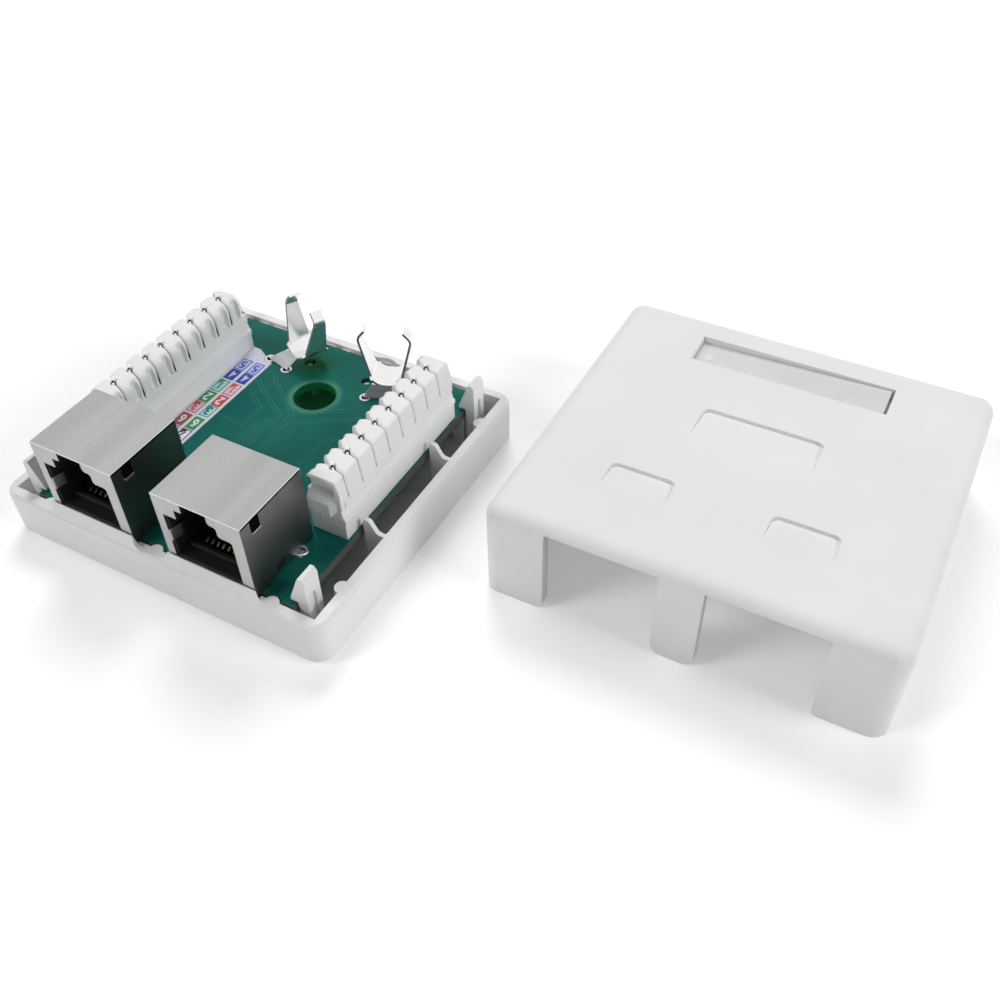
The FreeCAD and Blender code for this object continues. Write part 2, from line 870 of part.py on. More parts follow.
def punch_contacts():
    """Eight slotted blades, each turned across its slit, with a tail through the board."""
    half = blade_width / 2
    slot = blade_slot / 2
    low = channel_floor + comb_clearance
    tail = -board_thick - tail_length
    slot_floor = blade_top - blade_slot_depth
    shoulder = blade_top - blade_nose
    right = [(slot, slot_floor), (slot, blade_top), (half - blade_nose, blade_top),
             (half, shoulder), (half, low), (blade_tail / 2, low), (blade_tail / 2, tail)]
    profile = right + [(-x, z) for x, z in right][::-1]
    blade = along_y(profile, -blade_thick / 2, blade_thick / 2)
    return Part.makeCompound([turned(blade, blade_turn, 0, y, 0) for y in way_places()])


def cable_clip(lean, pins):
    """A clip bent from one sheet: a round trough, two tapering arms with turned-in tips, a foot."""
    path = [(-clip_tip_half, clip_tip_height), (-clip_bend_half, clip_bend_height),
            (-clip_foot_half, clip_bottom), (clip_foot_half, clip_bottom),
            (clip_bend_half, clip_bend_height), (clip_tip_half, clip_tip_height)]
    bends = [0, clip_bend_round, clip_throat_round, clip_throat_round, clip_bend_round, 0]
    strip = bent_strip(path, bends, clip_sheet, clip_length)
    trough = clip_length / 2
    root = arm_root_width / 2
    tip = arm_tip_width / 2
    side = [(-trough, 0), (-trough, clip_flare_height), (-root, arm_root_height),
            (-tip, clip_bend_height), (-tip, clip_tip_height + 2), (tip, clip_tip_height + 2),
            (tip, clip_bend_height), (root, arm_root_height), (trough, clip_flare_height),
            (trough, 0)]
    outline = along_x(side, -clip_bend_half - 2, clip_bend_half + 2)
    strip = strip.common(outline)
    strip.rotate(Vector(0, 0, 0), Vector(1, 0, 0), -lean)
    return one_solid(strip.multiFuse([clip_foot(lean, pins)] + clip_pins(pins)))


def clip_foot(lean, pins):
    """The slanting foot plate between the trough's front end and the two pins."""
    edge = -clip_length / 2
    top_z = clip_bottom + clip_sheet / 2
    top = [(foot_left, edge + foot_overlap), (foot_right, edge + foot_overlap),
           (foot_right, edge), (foot_left, edge)]
    left = Vector(pins[0][0], pins[0][1], 0)
    right = Vector(pins[1][0], pins[1][1], 0)
    run = right - left
    run.normalize()
    depth = Vector(-run.y, run.x, 0) * (clip_sheet / 2)
    bottom = [left - run * foot_end + depth, right + run * foot_end + depth,
              right + run * foot_end - depth, left - run * foot_end - depth]
    tilt = FreeCAD.Rotation(Vector(1, 0, 0), -lean)
    upper = [tilt.multVec(Vector(x, y, top_z)) for x, y in top]
    lower = [Vector(p.x, p.y, pad_height + 0.05) for p in bottom]
    return Part.makeLoft([Part.makePolygon(upper + upper[:1]),
                          Part.makePolygon(lower + lower[:1])], True, True)


def clip_pins(pins):
    """The two pins of a clip, down through the board."""
    half = pin_width / 2
    thick = pin_thick / 2
    made = []
    for across, along in pins:
        made.append(box(across - half, across + half, along - thick, along + thick,
                        -board_thick - tail_length, pad_height + 0.3))
    return made


def solder_pads():
    """Plated rings round the clip pins and pads at the shield tabs."""
    pads = []
    for place in clip_pin_places():
        ring = sided_rod(ring_sides, pad_ring / 2, place.x, place.y, board_top,
                         board_top + pad_height)
        hole = sided_rod(ring_sides, pad_ring_hole / 2, place.x, place.y, board_top - 1,
                         board_top + 1)
        pads.append(ring.cut(hole))
    for x, y in tab_places():
        side = 1 if x > math.copysign(jack_offset, x) else -1
        outer = x + side * sheet / 2 + side * jack_clearance
        reach = outer + side * 0.9
        pads.append(box(min(outer, reach), max(outer, reach), y - 0.7, y + 0.7, board_top,
                        board_top + pad_height))
    return Part.makeCompound(pads)


def wiring_label():
    """The printed label beside the left block, with one corner cut off."""
    x0 = -block_x + base_half + label_gap
    x1 = x0 + label_width
    label_front = block_front + label_front_gap
    label_rear = block_rear - label_rear_gap
    outline = [(x0, label_front), (x1, label_front), (x1, label_rear - label_chamfer_y),
               (x1 - label_chamfer_x, label_rear), (x0, label_rear)]
    label = along_z(outline, board_top, board_top + label_thick)
    rings = [rod(pad_ring / 2 + label_gap, place.x, place.y, board_top - 1, board_top + 1)
             for place in clip_pin_places()]
    return one_solid(label.cut(rings))


def rounded_recess(left, right, front, rear):
    """The cutter for a recess with rounded corners and a floor that rises to the front."""
    top = cover_height
    outline = [(left, front), (right, front), (right, rear), (left, rear)]
    prism_part = along_z(outline, top - recess_depth - 1, top + 1, [recess_round] * 4)
    wedge = along_x([(front - 0.1, top + 0.01), (rear + 0.1, top - recess_depth), (rear + 0.1, top + 1),
                     (front - 0.1, top + 1)], left - 1, right + 1)
    return prism_part.common(wedge)


def cover_legs_cut(side):
    """The cutter for one jack notch in the cover's front wall."""
    inner = sill_inner_end - leg_gap
    outer = sill_outer_end + sill_outer_round + leg_gap
    high = cover_height - cover_top
    front = -tray_depth / 2 - 1
    back = -tray_depth / 2 + cover_wall + 0.01
    notch = along_y([(inner, -1), (inner, high), (outer, high), (outer, -1)], front, back)
    inner_keep = Part.makeCylinder(sill_inner_round, back - front,
                                   Vector(inner - sill_inner_round, front, sill_inner_round),
                                   Vector(0, 1, 0))
    inner_square = box(inner - sill_inner_round, inner, front, back, 0, sill_inner_round)
    outer_keep = Part.makeCylinder(leg_round, back - front,
                                   Vector(outer + leg_round, front, leg_round), Vector(0, 1, 0))
    outer_square = box(outer, outer + leg_round, front, back, 0, leg_round)
    cut = notch.fuse(inner_square.cut(inner_keep)).fuse(outer_square.cut(outer_keep))
    return cut if side > 0 else mirrored(cut)


def cover_catch(y):
    """A small catch inside the cover that clicks into the groove of a board hook."""
    wall = tray_width / 2 - cover_wall
    tip = hook_outer - groove_depth + catch_gap
    middle = y + hook_width / 2
    profile = [(wall + 0.2, 0.2), (tip, 0.7), (tip, catch_height), (wall + 0.2, catch_height)]
    return along_y(profile, middle - catch_width / 2, middle + catch_width / 2)


def cover_shell():
    """The cover: a shell open below, with two jack notches and shallow recesses on top."""
    shell = cover_block()
    half_width = tray_width / 2 - cover_wall
    half_depth = tray_depth / 2 - cover_wall
    inside = box(-half_width, half_width, -half_depth, half_depth, -1, cover_height - cover_top)
    shell = shell.cut(inside)
    added = [box(window_left - 1, window_right + 1, window_front - 1, window_rear + 1,
                 cover_height - window_depth - window_floor, cover_height - cover_top + 0.1)]
    for y in hook_places():
        catch = cover_catch(y)
        added += [catch, mirrored(catch)]
    shell = shell.multiFuse(added)
    cuts = [box(window_left, window_right, window_front, window_rear,
                cover_height - window_depth, cover_height + 1),
            rounded_recess(-badge_half, badge_half, badge_front, badge_rear),
            rounded_recess(port_left[0], port_left[1], port_front, port_rear),
            rounded_recess(port_right[0], port_right[1], port_front, port_rear)]
    shell = shell.cut(cuts)
    shell = shell.cut([cover_legs_cut(1), cover_legs_cut(-1)])
    return one_solid(shell)


def label_card():
    """The card under the label window."""
    low = cover_height - window_depth
    return box(window_left + card_gap, window_right - finger_gap - card_gap,
               window_front + card_gap, window_rear - card_gap, low, low + card_thick)


def label_window():
    """The clear window over the card: its top climbs from the left end to the finger gap."""
    low = cover_height - window_depth + card_thick
    left = window_left + window_gap
    right = window_right - finger_gap
    profile = [(left, low), (left, low + window_thick), (right, low + window_thick + window_rise),
               (right, low)]
    return along_y(profile, window_front + window_gap, window_rear - window_gap)


def place_jack(shape, x):
    """A jack piece set on the board."""
    return turned(shape, 0, x, jack_front, board_top)


def place_cover(shape):
    """A cover piece set down beside the tray."""
    return turned(shape, cover_yaw, cover_x, cover_shift, 0)


def save(shape, node):
    """One file for each piece."""
    solids = shape.Solids
    kept = solids[0] if len(solids) == 1 else Part.makeCompound(solids)
    for solid in solids:
        if not solid.isValid() or solid.Volume <= 0:
            print("bad solid in", node)
    kept.exportStep("parts/" + node + ".step")
    print(node, len(solids), "solids", round(kept.Volume, 2), "mm3")


def main():
    os.makedirs("parts", exist_ok=True)
    save(base_tray(), "base_tray")
    save(circuit_board(), "circuit_board")
    save(solder_pads(), "solder_pads")
    save(wiring_label(), "wiring_label")
    shield = jack_shield()
    housing = jack_housing()
    insert = jack_insert()
    contacts = jack_contacts()
    for side, x in jack_sides():
        save(place_jack(shield, x), "jack_shield_" + side)
        save(place_jack(housing, x), "jack_housing_" + side)
        save(place_jack(insert, x), "jack_insert_" + side)
        save(place_jack(contacts, x), "jack_contacts_" + side)
    base = punch_base()
    comb = punch_comb()
    blades = punch_contacts()
    for side, x, turn in (("left", -block_x, 180), ("right", block_x, 0)):
        save(turned(base, turn, x, block_y, board_top), "punch_base_" + side)
        save(turned(comb, turn, x, block_y, board_top), "punch_comb_" + side)
        save(turned(blades, turn, x, block_y, board_top), "punch_contacts_" + side)
    for side, x, y, turn, lean, pins in clip_stands():
        save(turned(cable_clip(lean, pins), turn, x, y, board_top), "cable_clip_" + side)
    save(place_cover(cover_shell()), "cover_shell")
    save(place_cover(label_card()), "label_card")
    save(place_cover(label_window()), "label_window")


main()
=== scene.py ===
import math
import bmesh
import bpy
import numpy as np
from mathutils import Matrix, Vector


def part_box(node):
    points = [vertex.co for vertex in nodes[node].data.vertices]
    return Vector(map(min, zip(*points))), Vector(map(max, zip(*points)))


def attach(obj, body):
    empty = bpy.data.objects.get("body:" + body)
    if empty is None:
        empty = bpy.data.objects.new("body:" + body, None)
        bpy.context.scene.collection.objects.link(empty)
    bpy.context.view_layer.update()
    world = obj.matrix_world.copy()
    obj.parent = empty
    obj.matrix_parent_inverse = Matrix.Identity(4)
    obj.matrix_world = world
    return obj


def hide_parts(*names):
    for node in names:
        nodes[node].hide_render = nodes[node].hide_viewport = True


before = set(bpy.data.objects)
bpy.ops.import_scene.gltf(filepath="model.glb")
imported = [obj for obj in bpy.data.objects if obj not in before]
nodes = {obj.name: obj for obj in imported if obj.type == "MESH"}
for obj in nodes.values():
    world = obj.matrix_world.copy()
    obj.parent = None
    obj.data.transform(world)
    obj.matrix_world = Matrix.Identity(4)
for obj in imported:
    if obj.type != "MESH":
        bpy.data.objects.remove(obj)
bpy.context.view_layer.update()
millimetre = 0.001
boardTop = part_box("circuit_board")[1][2]
print("frame loaded:", len(nodes), "nodes")


class Wire:  # a socket of a finish; plain arithmetic on it adds Math nodes
    def __init__(self, finish, socket):
        self.finish = finish
        self.socket = socket

    def math(self, operation, first, second):
        return self.finish.node("ShaderNodeMath", {"operation": operation},
                                {0: first, 1: second})

    def __add__(self, other):
        return self.math("ADD", self, other)

    def __sub__(self, other):
        return self.math("SUBTRACT", self, other)

    def __rsub__(self, other):
        return self.math("SUBTRACT", other, self)

    def __mul__(self, other):
        return self.math("MULTIPLY", self, other)

    def __pow__(self, other):
        return self.math("POWER", self, other)

    def __gt__(self, other):
        return self.math("GREATER_THAN", self, other)

    def __lt__(self, other):
        return self.math("LESS_THAN", self, other)

    __radd__ = __add__
    __rmul__ = __mul__


def grey(level):
    return (level, level, level, 1.0)


class Finish:  # one material: node() makes any node, sets it up, then fills its sockets
    def __init__(self, name, world=None):
        # the world's nodes are made in the same way, but have no place on the object
        self.material = world or bpy.data.materials.new(name)
        self.material.use_nodes = True
        self.tree = self.material.node_tree
        self.tree.nodes.clear()
        self.place = None if world else self.node("ShaderNodeTexCoord", {}, {}, "Object")

    def node(self, kind, settings, values, output=0):
        made = self.tree.nodes.new(kind)
        for key, value in settings.items():
            if key == "stops":
                self.setStops(made.color_ramp, value)
            else:
                setattr(made, key, value)
        for key, value in values.items():
            if isinstance(value, Wire):
                self.tree.links.new(value.socket, made.inputs[key])
            else:
                made.inputs[key].default_value = value
        return Wire(self, made.outputs[output]) if made.outputs else None

    def setStops(self, ramp, stops):
        while len(ramp.elements) < len(stops):
            ramp.elements.new(1.0)
        for element, (position, level) in zip(ramp.elements, stops):
            element.position = position
            element.color = grey(level)

    def noise(self, scale, detail=2.0, rough=0.5, place=None):
        values = {"Vector": place or self.place, "Scale": scale, "Detail": detail,
                  "Roughness": rough}
        return self.node("ShaderNodeTexNoise", {}, values)

    def stretched(self, scale):
        return self.node("ShaderNodeMapping", {}, {"Vector": self.place, "Scale": scale})

    def mix(self, share, first, second):
        values = {0: share, 6: first, 7: second}
        return self.node("ShaderNodeMix", {"data_type": "RGBA"}, values, 2)

    def ramp(self, value, stops):
        return self.node("ShaderNodeValToRGB", {"stops": stops}, {0: value})

    def fade(self, value, begin, end):
        # 0 up to begin, 1 from end on
        return self.ramp(value, [(begin, 0.0), (end, 1.0)])

    def axes(self):
        parted = self.node("ShaderNodeSeparateXYZ", {}, {"Vector": self.place})
        return [Wire(self, parted.socket.node.outputs[number]) for number in range(3)]

    def away(self, x, y):
        # distance in plan, from how far off along x and along y
        return (x * x + y * y) ** 0.5

    def size(self, value):
        return self.node("ShaderNodeMath", {"operation": "ABSOLUTE"}, {0: value})

    def facing(self, axis):
        # how squarely the flat surface faces along one axis, either way
        flat = self.node("ShaderNodeNewGeometry", {}, {}, "True Normal")
        return self.size(self.node("ShaderNodeSeparateXYZ", {}, {"Vector": flat}, axis))

    def uneven(self, pattern, look):
        # roughness that follows a pattern
        return pattern * look["spread"] + look["least"]

    def softEdge(self, radius):
        return self.node("ShaderNodeBevel", {"samples": 6}, {"Radius": radius})

    def relief(self, pattern, look):
        # a bump over softened edges, or over the plain surface where the look has no edge
        values = {"Height": pattern, "Distance": look["depth"], "Strength": look["strength"]}
        if "edge" in look:
            values["Normal"] = self.softEdge(look["edge"])
        return self.node("ShaderNodeBump", {}, values)

    def finish(self, **sockets):
        # the plain shader and the output; a socket's spaces are written as underscores
        values = {key.replace("_", " "): value for key, value in sockets.items()}
        shader = self.node("ShaderNodeBsdfPrincipled", {}, values)
        self.node("ShaderNodeOutputMaterial", {}, {"Surface": shader})
        return self.material


def colour(red, green, blue):
    # screen colour 0 to 255 to the linear values a shader takes
    screen = np.array([red, green, blue]) / 255.0
    linear = np.where(screen <= 0.04045, screen / 12.92, ((screen + 0.055) / 1.055) ** 2.4)
    return (float(linear[0]), float(linear[1]), float(linear[2]), 1.0)


mouldedLook = {   # a noise is cells to a metre, detail, roughness; depth and edge are metres
    "mottle": (60.0, 3.0), "mottleFrom": 0.3, "mottleTo": 0.7, "grain": (2600.0, 3.0, 0.6),
    "depth": 0.000012, "strength": 0.35, "edge": 0.00016, "shine": (360.0, 2.0), "spread": 0.12,
}


def makeMoulded(name, pale, dark, roughness, under=None):
    # moulded plastic: faint mottle in the colour, a fine eroded grain and soft edges; under
    # names the round patch below the board's big hole that is painted bright green, as light
    # coming through the green board
    f = Finish(name)
    look = mouldedLook
    mottle = f.fade(f.noise(*look["mottle"]), look["mottleFrom"], look["mottleTo"])
    base = f.mix(mottle, pale, dark)
    if under:
        x, y, z = f.axes()
        # painted light: the tray below the board round its big hole turns bright green, as if
        # lit through the green board
        paintedGlowPatch = f.away(x, y - under["y"]) < under["reach"]
        paintedGlowPatch = paintedGlowPatch * (z > under["low"]) * (z < under["high"])
        base = f.mix(paintedGlowPatch, base, under["colour"])
    normal = f.relief(f.noise(*look["grain"]), look)
    shine = f.noise(*look["shine"]) * look["spread"] + (roughness - look["spread"] / 2.0)
    return f.finish(Base_Color=base, Roughness=shine, Normal=normal)


boardLook = {   # the big hole has a pale ring, and a patch of painted shade behind it; metres
    "tone": (90.0, 3.0), "toneFrom": 0.35, "toneTo": 0.65,
    "holeY": 0.0134, "ringFrom": 0.0037, "ringMiddle": 0.0041, "ringTo": 0.0052,
    "ringBreak": (260.0, 2.0), "ringSpread": 0.5, "ringLeast": 0.25,
    "ringColour": colour(96, 158, 128), "boreReach": 1.02, "boreColour": colour(24, 104, 58),
    "patchX": -0.0058, "patchY": 0.0212, "patchReach": 0.0058, "patchCore": 0.2,
    "patchShare": 0.85, "patchColour": colour(8, 96, 44),
    "edgeX": 0.02512, "edgeFront": -0.02712, "edgeRear": 0.02672,   # the sawn outer edges
    "edgeColour": colour(92, 94, 86),
    "ripple": (700.0, 2.0), "depth": 0.00001, "strength": 0.25, "edge": 0.00008,
    "gloss": (300.0, 2.0), "spread": 0.1, "least": 0.35, "specular": 0.12,
}


def makeLacquer(name, deep, light):
    # green solder lacquer: deep green with slow changes of tone, a paler ring round the big
    # hole and a darker green patch of painted shade behind it, a wet gloss and a soft ripple;
    # the sawn outer edges are bare grey laminate
    f = Finish(name)
    look = boardLook
    x, y = f.axes()[:2]
    tone = f.fade(f.noise(*look["tone"]), look["toneFrom"], look["toneTo"])
    base = f.mix(tone, deep, light)
    away = f.away(x, y - look["holeY"])
    ring = f.ramp(away * (1.0 / look["ringTo"]),
                  [(look["ringFrom"] / look["ringTo"], 0.0),
                   (look["ringMiddle"] / look["ringTo"], 1.0), (1.0, 0.0)])
    broken = f.noise(*look["ringBreak"]) * look["ringSpread"] + look["ringLeast"]
    base = f.mix(ring * broken, base, look["ringColour"])
    base = f.mix(away < look["ringFrom"] * look["boreReach"], base, look["boreColour"])
    # painted shade: a darker green patch between the left clip and the big hole
    fromShadePatch = f.away(x - look["patchX"], y - look["patchY"])
    patch = f.ramp(fromShadePatch * (1.0 / look["patchReach"]),
                   [(look["patchCore"], 1.0), (1.0, 0.0)])
    base = f.mix(patch * look["patchShare"], base, look["patchColour"])
    sawn = (f.size(x) > look["edgeX"]) + (y < look["edgeFront"]) + (y > look["edgeRear"])
    atMostOne = f.node("ShaderNodeMath", {"operation": "MINIMUM"}, {0: sawn, 1: 1.0})
    base = f.mix(atMostOne, base, look["edgeColour"])
    return f.finish(Base_Color=base, Roughness=f.uneven(f.noise(*look["gloss"]), look),
                    Normal=f.relief(f.noise(*look["ripple"]), look),
                    Specular_IOR_Level=look["specular"])


grainedLooks = {   # tone, grain and gloss are noises; least and spread are the roughness
    "tin": {"tone": (900.0,), "grain": (1500.0,), "depth": 0.00001, "strength": 0.2,
            "edge": 0.00006, "gloss": (700.0,), "spread": 0.14, "least": 0.16},
    "blackPlastic": {"tone": (200.0,), "grain": (2400.0,), "depth": 0.00001, "strength": 0.3,
                     "edge": 0.0001, "gloss": (500.0,), "spread": 0.12, "least": 0.4},
    "goldWire": {"tone": (800.0,), "grain": (2000.0,), "depth": 0.000006, "strength": 0.2,
                 "edge": 0.00005, "gloss": (900.0,), "spread": 0.12, "least": 0.2},
}


def makeGrained(name, dark, pale, look, metal):
    # two close tones, a fine grain, softened edges and an uneven gloss
    f = Finish(name)
    return f.finish(Base_Color=f.mix(f.noise(*look["tone"]), dark, pale), Metallic=metal,
                    Roughness=f.uneven(f.noise(*look["gloss"]), look),
                    Normal=f.relief(f.noise(*look["grain"]), look))


shieldLook = {
    "speckle": (3600.0, 4.0, 0.7), "rolling": (260.0, 2.0, 0.6), "stretch": (1.0, 0.04, 1.0),
    "speckleShare": 0.6, "toneFrom": 0.3, "toneTo": 0.7, "dark": colour(166, 166, 165),
    "pale": colour(196, 196, 195), "sideFacing": 0.7, "sideColour": colour(128, 128, 128),
    "depth": 0.000008, "strength": 0.25, "edge": 0.0002, "spread": 0.12, "least": 0.3,
}


def makeShieldSheet():
    # rolled sheet: grey with a fine speckle and very faint rolling lines; the sides facing
    # along X are painted darker as shade
    f = Finish("shieldSheet")
    look = shieldLook
    speckle = f.noise(*look["speckle"])
    rolling = f.noise(*look["rolling"], f.stretched(look["stretch"]))
    share = look["speckleShare"]
    tone = f.fade(speckle * share + rolling * (1.0 - share), look["toneFrom"], look["toneTo"])
    base = f.mix(tone, look["dark"], look["pale"])
    # painted shade: faces turned along X get a darker grey
    base = f.mix(f.facing("X") > look["sideFacing"], base, look["sideColour"])
    return f.finish(Base_Color=base, Metallic=1.0, Roughness=f.uneven(speckle, look),
                    Normal=f.relief(speckle, look))


slotShadeLook = {"tone": (600.0,), "dark": colour(9, 9, 9), "pale": colour(17, 17, 16),
           "gloss": (300.0,), "spread": 0.05, "least": 0.92}


def makeSlotShade():
    # painted shade: near-black with no gloss, put in slots, seams and openings where only shade
    # shows
    f = Finish("darkGap")
    look = slotShadeLook
    return f.finish(Base_Color=f.mix(f.noise(*look["tone"]), look["dark"], look["pale"]),
                    Roughness=f.uneven(f.noise(*look["gloss"]), look), Specular_IOR_Level=0.0)


clipLook = {
    "smear": (320.0, 3.0, 0.6), "stretch": (1.0, 1.0, 0.3), "dark": colour(232, 232, 232),
    "pale": colour(250, 250, 250), "cutFacing": 0.8, "cutColour": colour(140, 140, 141),
    "footTop": 0.0099, "metal": 0.92, "cutDull": 0.4, "footDull": 0.7,
    "depth": 0.00002, "strength": 0.2, "edge": 0.00008, "spread": 0.14, "least": 0.1,
}


def makeClipSheet():
    # bright tinned spring sheet: polished, with slight smears in the gloss and a dull foot on
    # the board; every face turned along Y is a duller cut edge and is also painted dark grey as
    # shade
    f = Finish("clipSheet")
    look = clipLook
    smear = f.noise(*look["smear"], f.stretched(look["stretch"]))
    # cut edges: duller metal, and painted dark grey as shade on every face turned along Y
    shadedCutEdge = f.facing("Y") > look["cutFacing"]
    foot = f.axes()[2] < look["footTop"]
    base = f.mix(shadedCutEdge, f.mix(smear, look["dark"], look["pale"]), look["cutColour"])
    metal = (look["metal"] - shadedCutEdge * look["cutDull"]) * (1.0 - foot * look["footDull"])
    return f.finish(Base_Color=base, Metallic=metal, Roughness=f.uneven(smear, look),
                    Normal=f.relief(smear, look))


paperLook = {"fibre": (1600.0, 4.0, 0.7), "depth": 0.000008, "strength": 0.3,
             "spread": 0.1, "least": 0.45}


def makePaper(name, first, second, look):
    # paper, bare or printed: its fibre shows in the tone, the gloss and the surface
    f = Finish(name)
    fibre = f.noise(*look["fibre"])
    return f.finish(Base_Color=f.mix(fibre, first, second), Roughness=f.uneven(fibre, look),
                    Normal=f.relief(fibre, look))


windowLook = {
    "haze": (150.0, 2.0), "dark": colour(242, 242, 243), "pale": colour(247, 247, 248),
    "spread": 0.1, "least": 0.2, "solid": 0.72, "edge": 0.0001,
}


def makeWindow():
    # clear plastic over the card: partly see-through, glossy
    f = Finish("clearWindow")
    look = windowLook
    haze = f.noise(*look["haze"])
    return f.finish(Base_Color=f.mix(haze, look["dark"], look["pale"]),
                    Roughness=f.uneven(haze, look), Alpha=haze * look["spread"] + look["solid"],
                    Normal=f.softEdge(look["edge"]))


paintedBoardGlow = {   # metres; painted light: the part of the tray below the board round its big hole, painted bright green as light coming through the green board
    "y": 0.0134, "reach": 0.0115, "low": 0.001, "high": 0.00718,
    "colour": colour(120, 252, 175),
}
trayPlastic = makeMoulded("trayPlastic", colour(243, 243, 243), colour(236, 236, 236), 0.5,
                          paintedBoardGlow)
coverPlastic = makeMoulded("coverPlastic", colour(241, 241, 241), colour(235, 235, 235), 0.5)
blockPlastic = makeMoulded("blockPlastic", colour(243, 243, 243), colour(236, 236, 236), 0.42)
windowScar = makeMoulded("windowScar", colour(234, 234, 235), colour(226, 226, 227), 0.3)
boardLacquer = makeLacquer("boardLacquer", colour(13, 91, 86), colour(21, 104, 94))
trackLacquer = makeLacquer("trackLacquer", colour(48, 124, 112), colour(58, 134, 120))
tinnedMetal = makeGrained("tinnedMetal", colour(205, 205, 202), colour(232, 232, 230),
                          grainedLooks["tin"], 1.0)
# painted highlight: a whiter, less metallic copy of the tin, so the blade tips show as bright
# dots
tipMetal = makeGrained("tipMetal", colour(244, 244, 244), colour(252, 252, 252),
                       grainedLooks["tin"], 0.35)
blackPlastic = makeGrained("blackPlastic", colour(22, 22, 22), colour(34, 34, 34),
                           grainedLooks["blackPlastic"], 0.0)
# painted shade: the gold is given a dark base colour, as the wires sit in the jack's shade
goldWire = makeGrained("goldWire", colour(84, 76, 58), colour(108, 98, 74),
                       grainedLooks["goldWire"], 1.0)
shieldSheet = makeShieldSheet()
# painted shade for slots, seams and openings
darkGap = makeSlotShade()
clipSheet = makeClipSheet()
labelPaper = makePaper("labelPaper", colour(214, 214, 232), colour(228, 228, 240), paperLook)
cardPaper = makePaper("cardPaper", colour(243, 243, 244), colour(249, 249, 250), paperLook)
clearWindow = makeWindow()
print("finishes made")

nodeFinishes = {
    "base_tray": trayPlastic,
    "circuit_board": boardLacquer,
    "solder_pads": tinnedMetal,
    "wiring_label": labelPaper,
    "cover_shell": coverPlastic,
    "label_window": clearWindow,
    "label_card": cardPaper,
    "jack_shield": shieldSheet,
    "jack_housing": blackPlastic,
    "jack_insert": blackPlastic,
    "jack_contacts": goldWire,
    "punch_base": blockPlastic,
    "punch_comb": blockPlastic,
    "punch_contacts": tinnedMetal,
    "cable_clip": clipSheet,
}
for nodeName, nodeObject in nodes.items():
    plainName = nodeName.replace("_left", "").replace("_right", "")
    nodeObject.data.materials.clear()
    nodeObject.data.materials.append(nodeFinishes[plainName])
print("finishes on the frame's nodes")


meshWork = {
    "weld": 0.000001,       # metres
    "mitreLimit": 0.5,      # keeps the mitre of a sharp turn short
    "bevelSegments": 2,
    "bevelFrom": 28.0,      # degrees; flatter edges stay as they are
}


def gridFaces(rows, columns, closed=False):
    # points run row by row; a face joins each cell of the grid, wrapped round its columns
    # where they are closed
    i, j = np.meshgrid(np.arange(rows - 1), np.arange(columns if closed else columns - 1),
                       indexing="ij")
    nextJ = (j + 1) % columns
    return np.stack([i * columns + j, i * columns + nextJ, (i + 1) * columns + nextJ,
                     (i + 1) * columns + j], -1).reshape(-1, 4)


def addObject(name, data):
    made = bpy.data.objects.new(name, data)
    bpy.context.scene.collection.objects.link(made)
    return made


def meshObject(name, points, faces):
    mesh = bpy.data.meshes.new(name)
    mesh.from_pydata(np.asarray(points, float).tolist(), [], np.asarray(faces).tolist())
    mesh.update()
    return addObject(name, mesh)


def shadeSmooth(made):
    made.data.polygons.foreach_set("use_smooth", np.ones(len(made.data.polygons), bool))


def sealMesh(mesh):
    # welds seams and pinched ends, then turns every face outwards
    work = bmesh.new()
    work.from_mesh(mesh)
    bmesh.ops.remove_doubles(work, verts=work.verts, dist=meshWork["weld"])
    bmesh.ops.recalc_face_normals(work, faces=work.faces)
    work.to_mesh(mesh)
    work.free()


def sweptObject(name, patches, finishMade, body):
    # each patch is a grid of points (rows, columns, 3) that closes round its columns
    starts = np.cumsum([0] + [patch.shape[0] * patch.shape[1] for patch in patches])
    points = np.concatenate([patch.reshape(-1, 3) for patch in patches])
    faces = np.concatenate([gridFaces(patch.shape[0], patch.shape[1], True) + begin
                            for patch, begin in zip(patches, starts)])
    made = meshObject(name, points, faces)
    sealMesh(made.data)
    made.data.materials.append(finishMade)
    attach(made, body)
    return made


def pinched(rows):
    # adds a row at each end that has shrunk to the middle of its neighbour
    first = np.broadcast_to(rows[:1].mean(1, keepdims=True), rows[:1].shape)
    last = np.broadcast_to(rows[-1:].mean(1, keepdims=True), rows[-1:].shape)
    return np.concatenate([first, rows, last])


def carried(path, profile):
    # a profile of (sideways, up) points at each point of a path; sideways is square to the
    # path in plan, and longer by the mitre where the path turns, but not by a sharp spike
    path = np.asarray(path, float)
    profile = np.asarray(profile, float)
    run = np.diff(path[:, :2], axis=0)
    run = run / np.linalg.norm(run, axis=1, keepdims=True)
    before = np.vstack([run[:1], run])
    after = np.vstack([run, run[-1:]])
    side = np.stack([-(before + after)[:, 1], (before + after)[:, 0]], 1)
    mitre = 1.0 + (before * after).sum(1, keepdims=True)
    side = side / np.maximum(mitre, meshWork["mitreLimit"])
    flat = path[:, None, :2] + side[:, None, :] * profile[None, :, :1]
    up = path[:, None, 2:] + np.broadcast_to(profile[None, :, 1:], flat[:, :, :1].shape)
    return pinched(np.concatenate([flat, up], 2))


def slab(outline, low, high):
    # a flat patch: its outline at two heights, closed over above and below
    outline = np.asarray(outline, float)
    rows = np.stack([np.column_stack([outline, np.full(len(outline), height)])
                     for height in (low, high)])
    return pinched(rows)


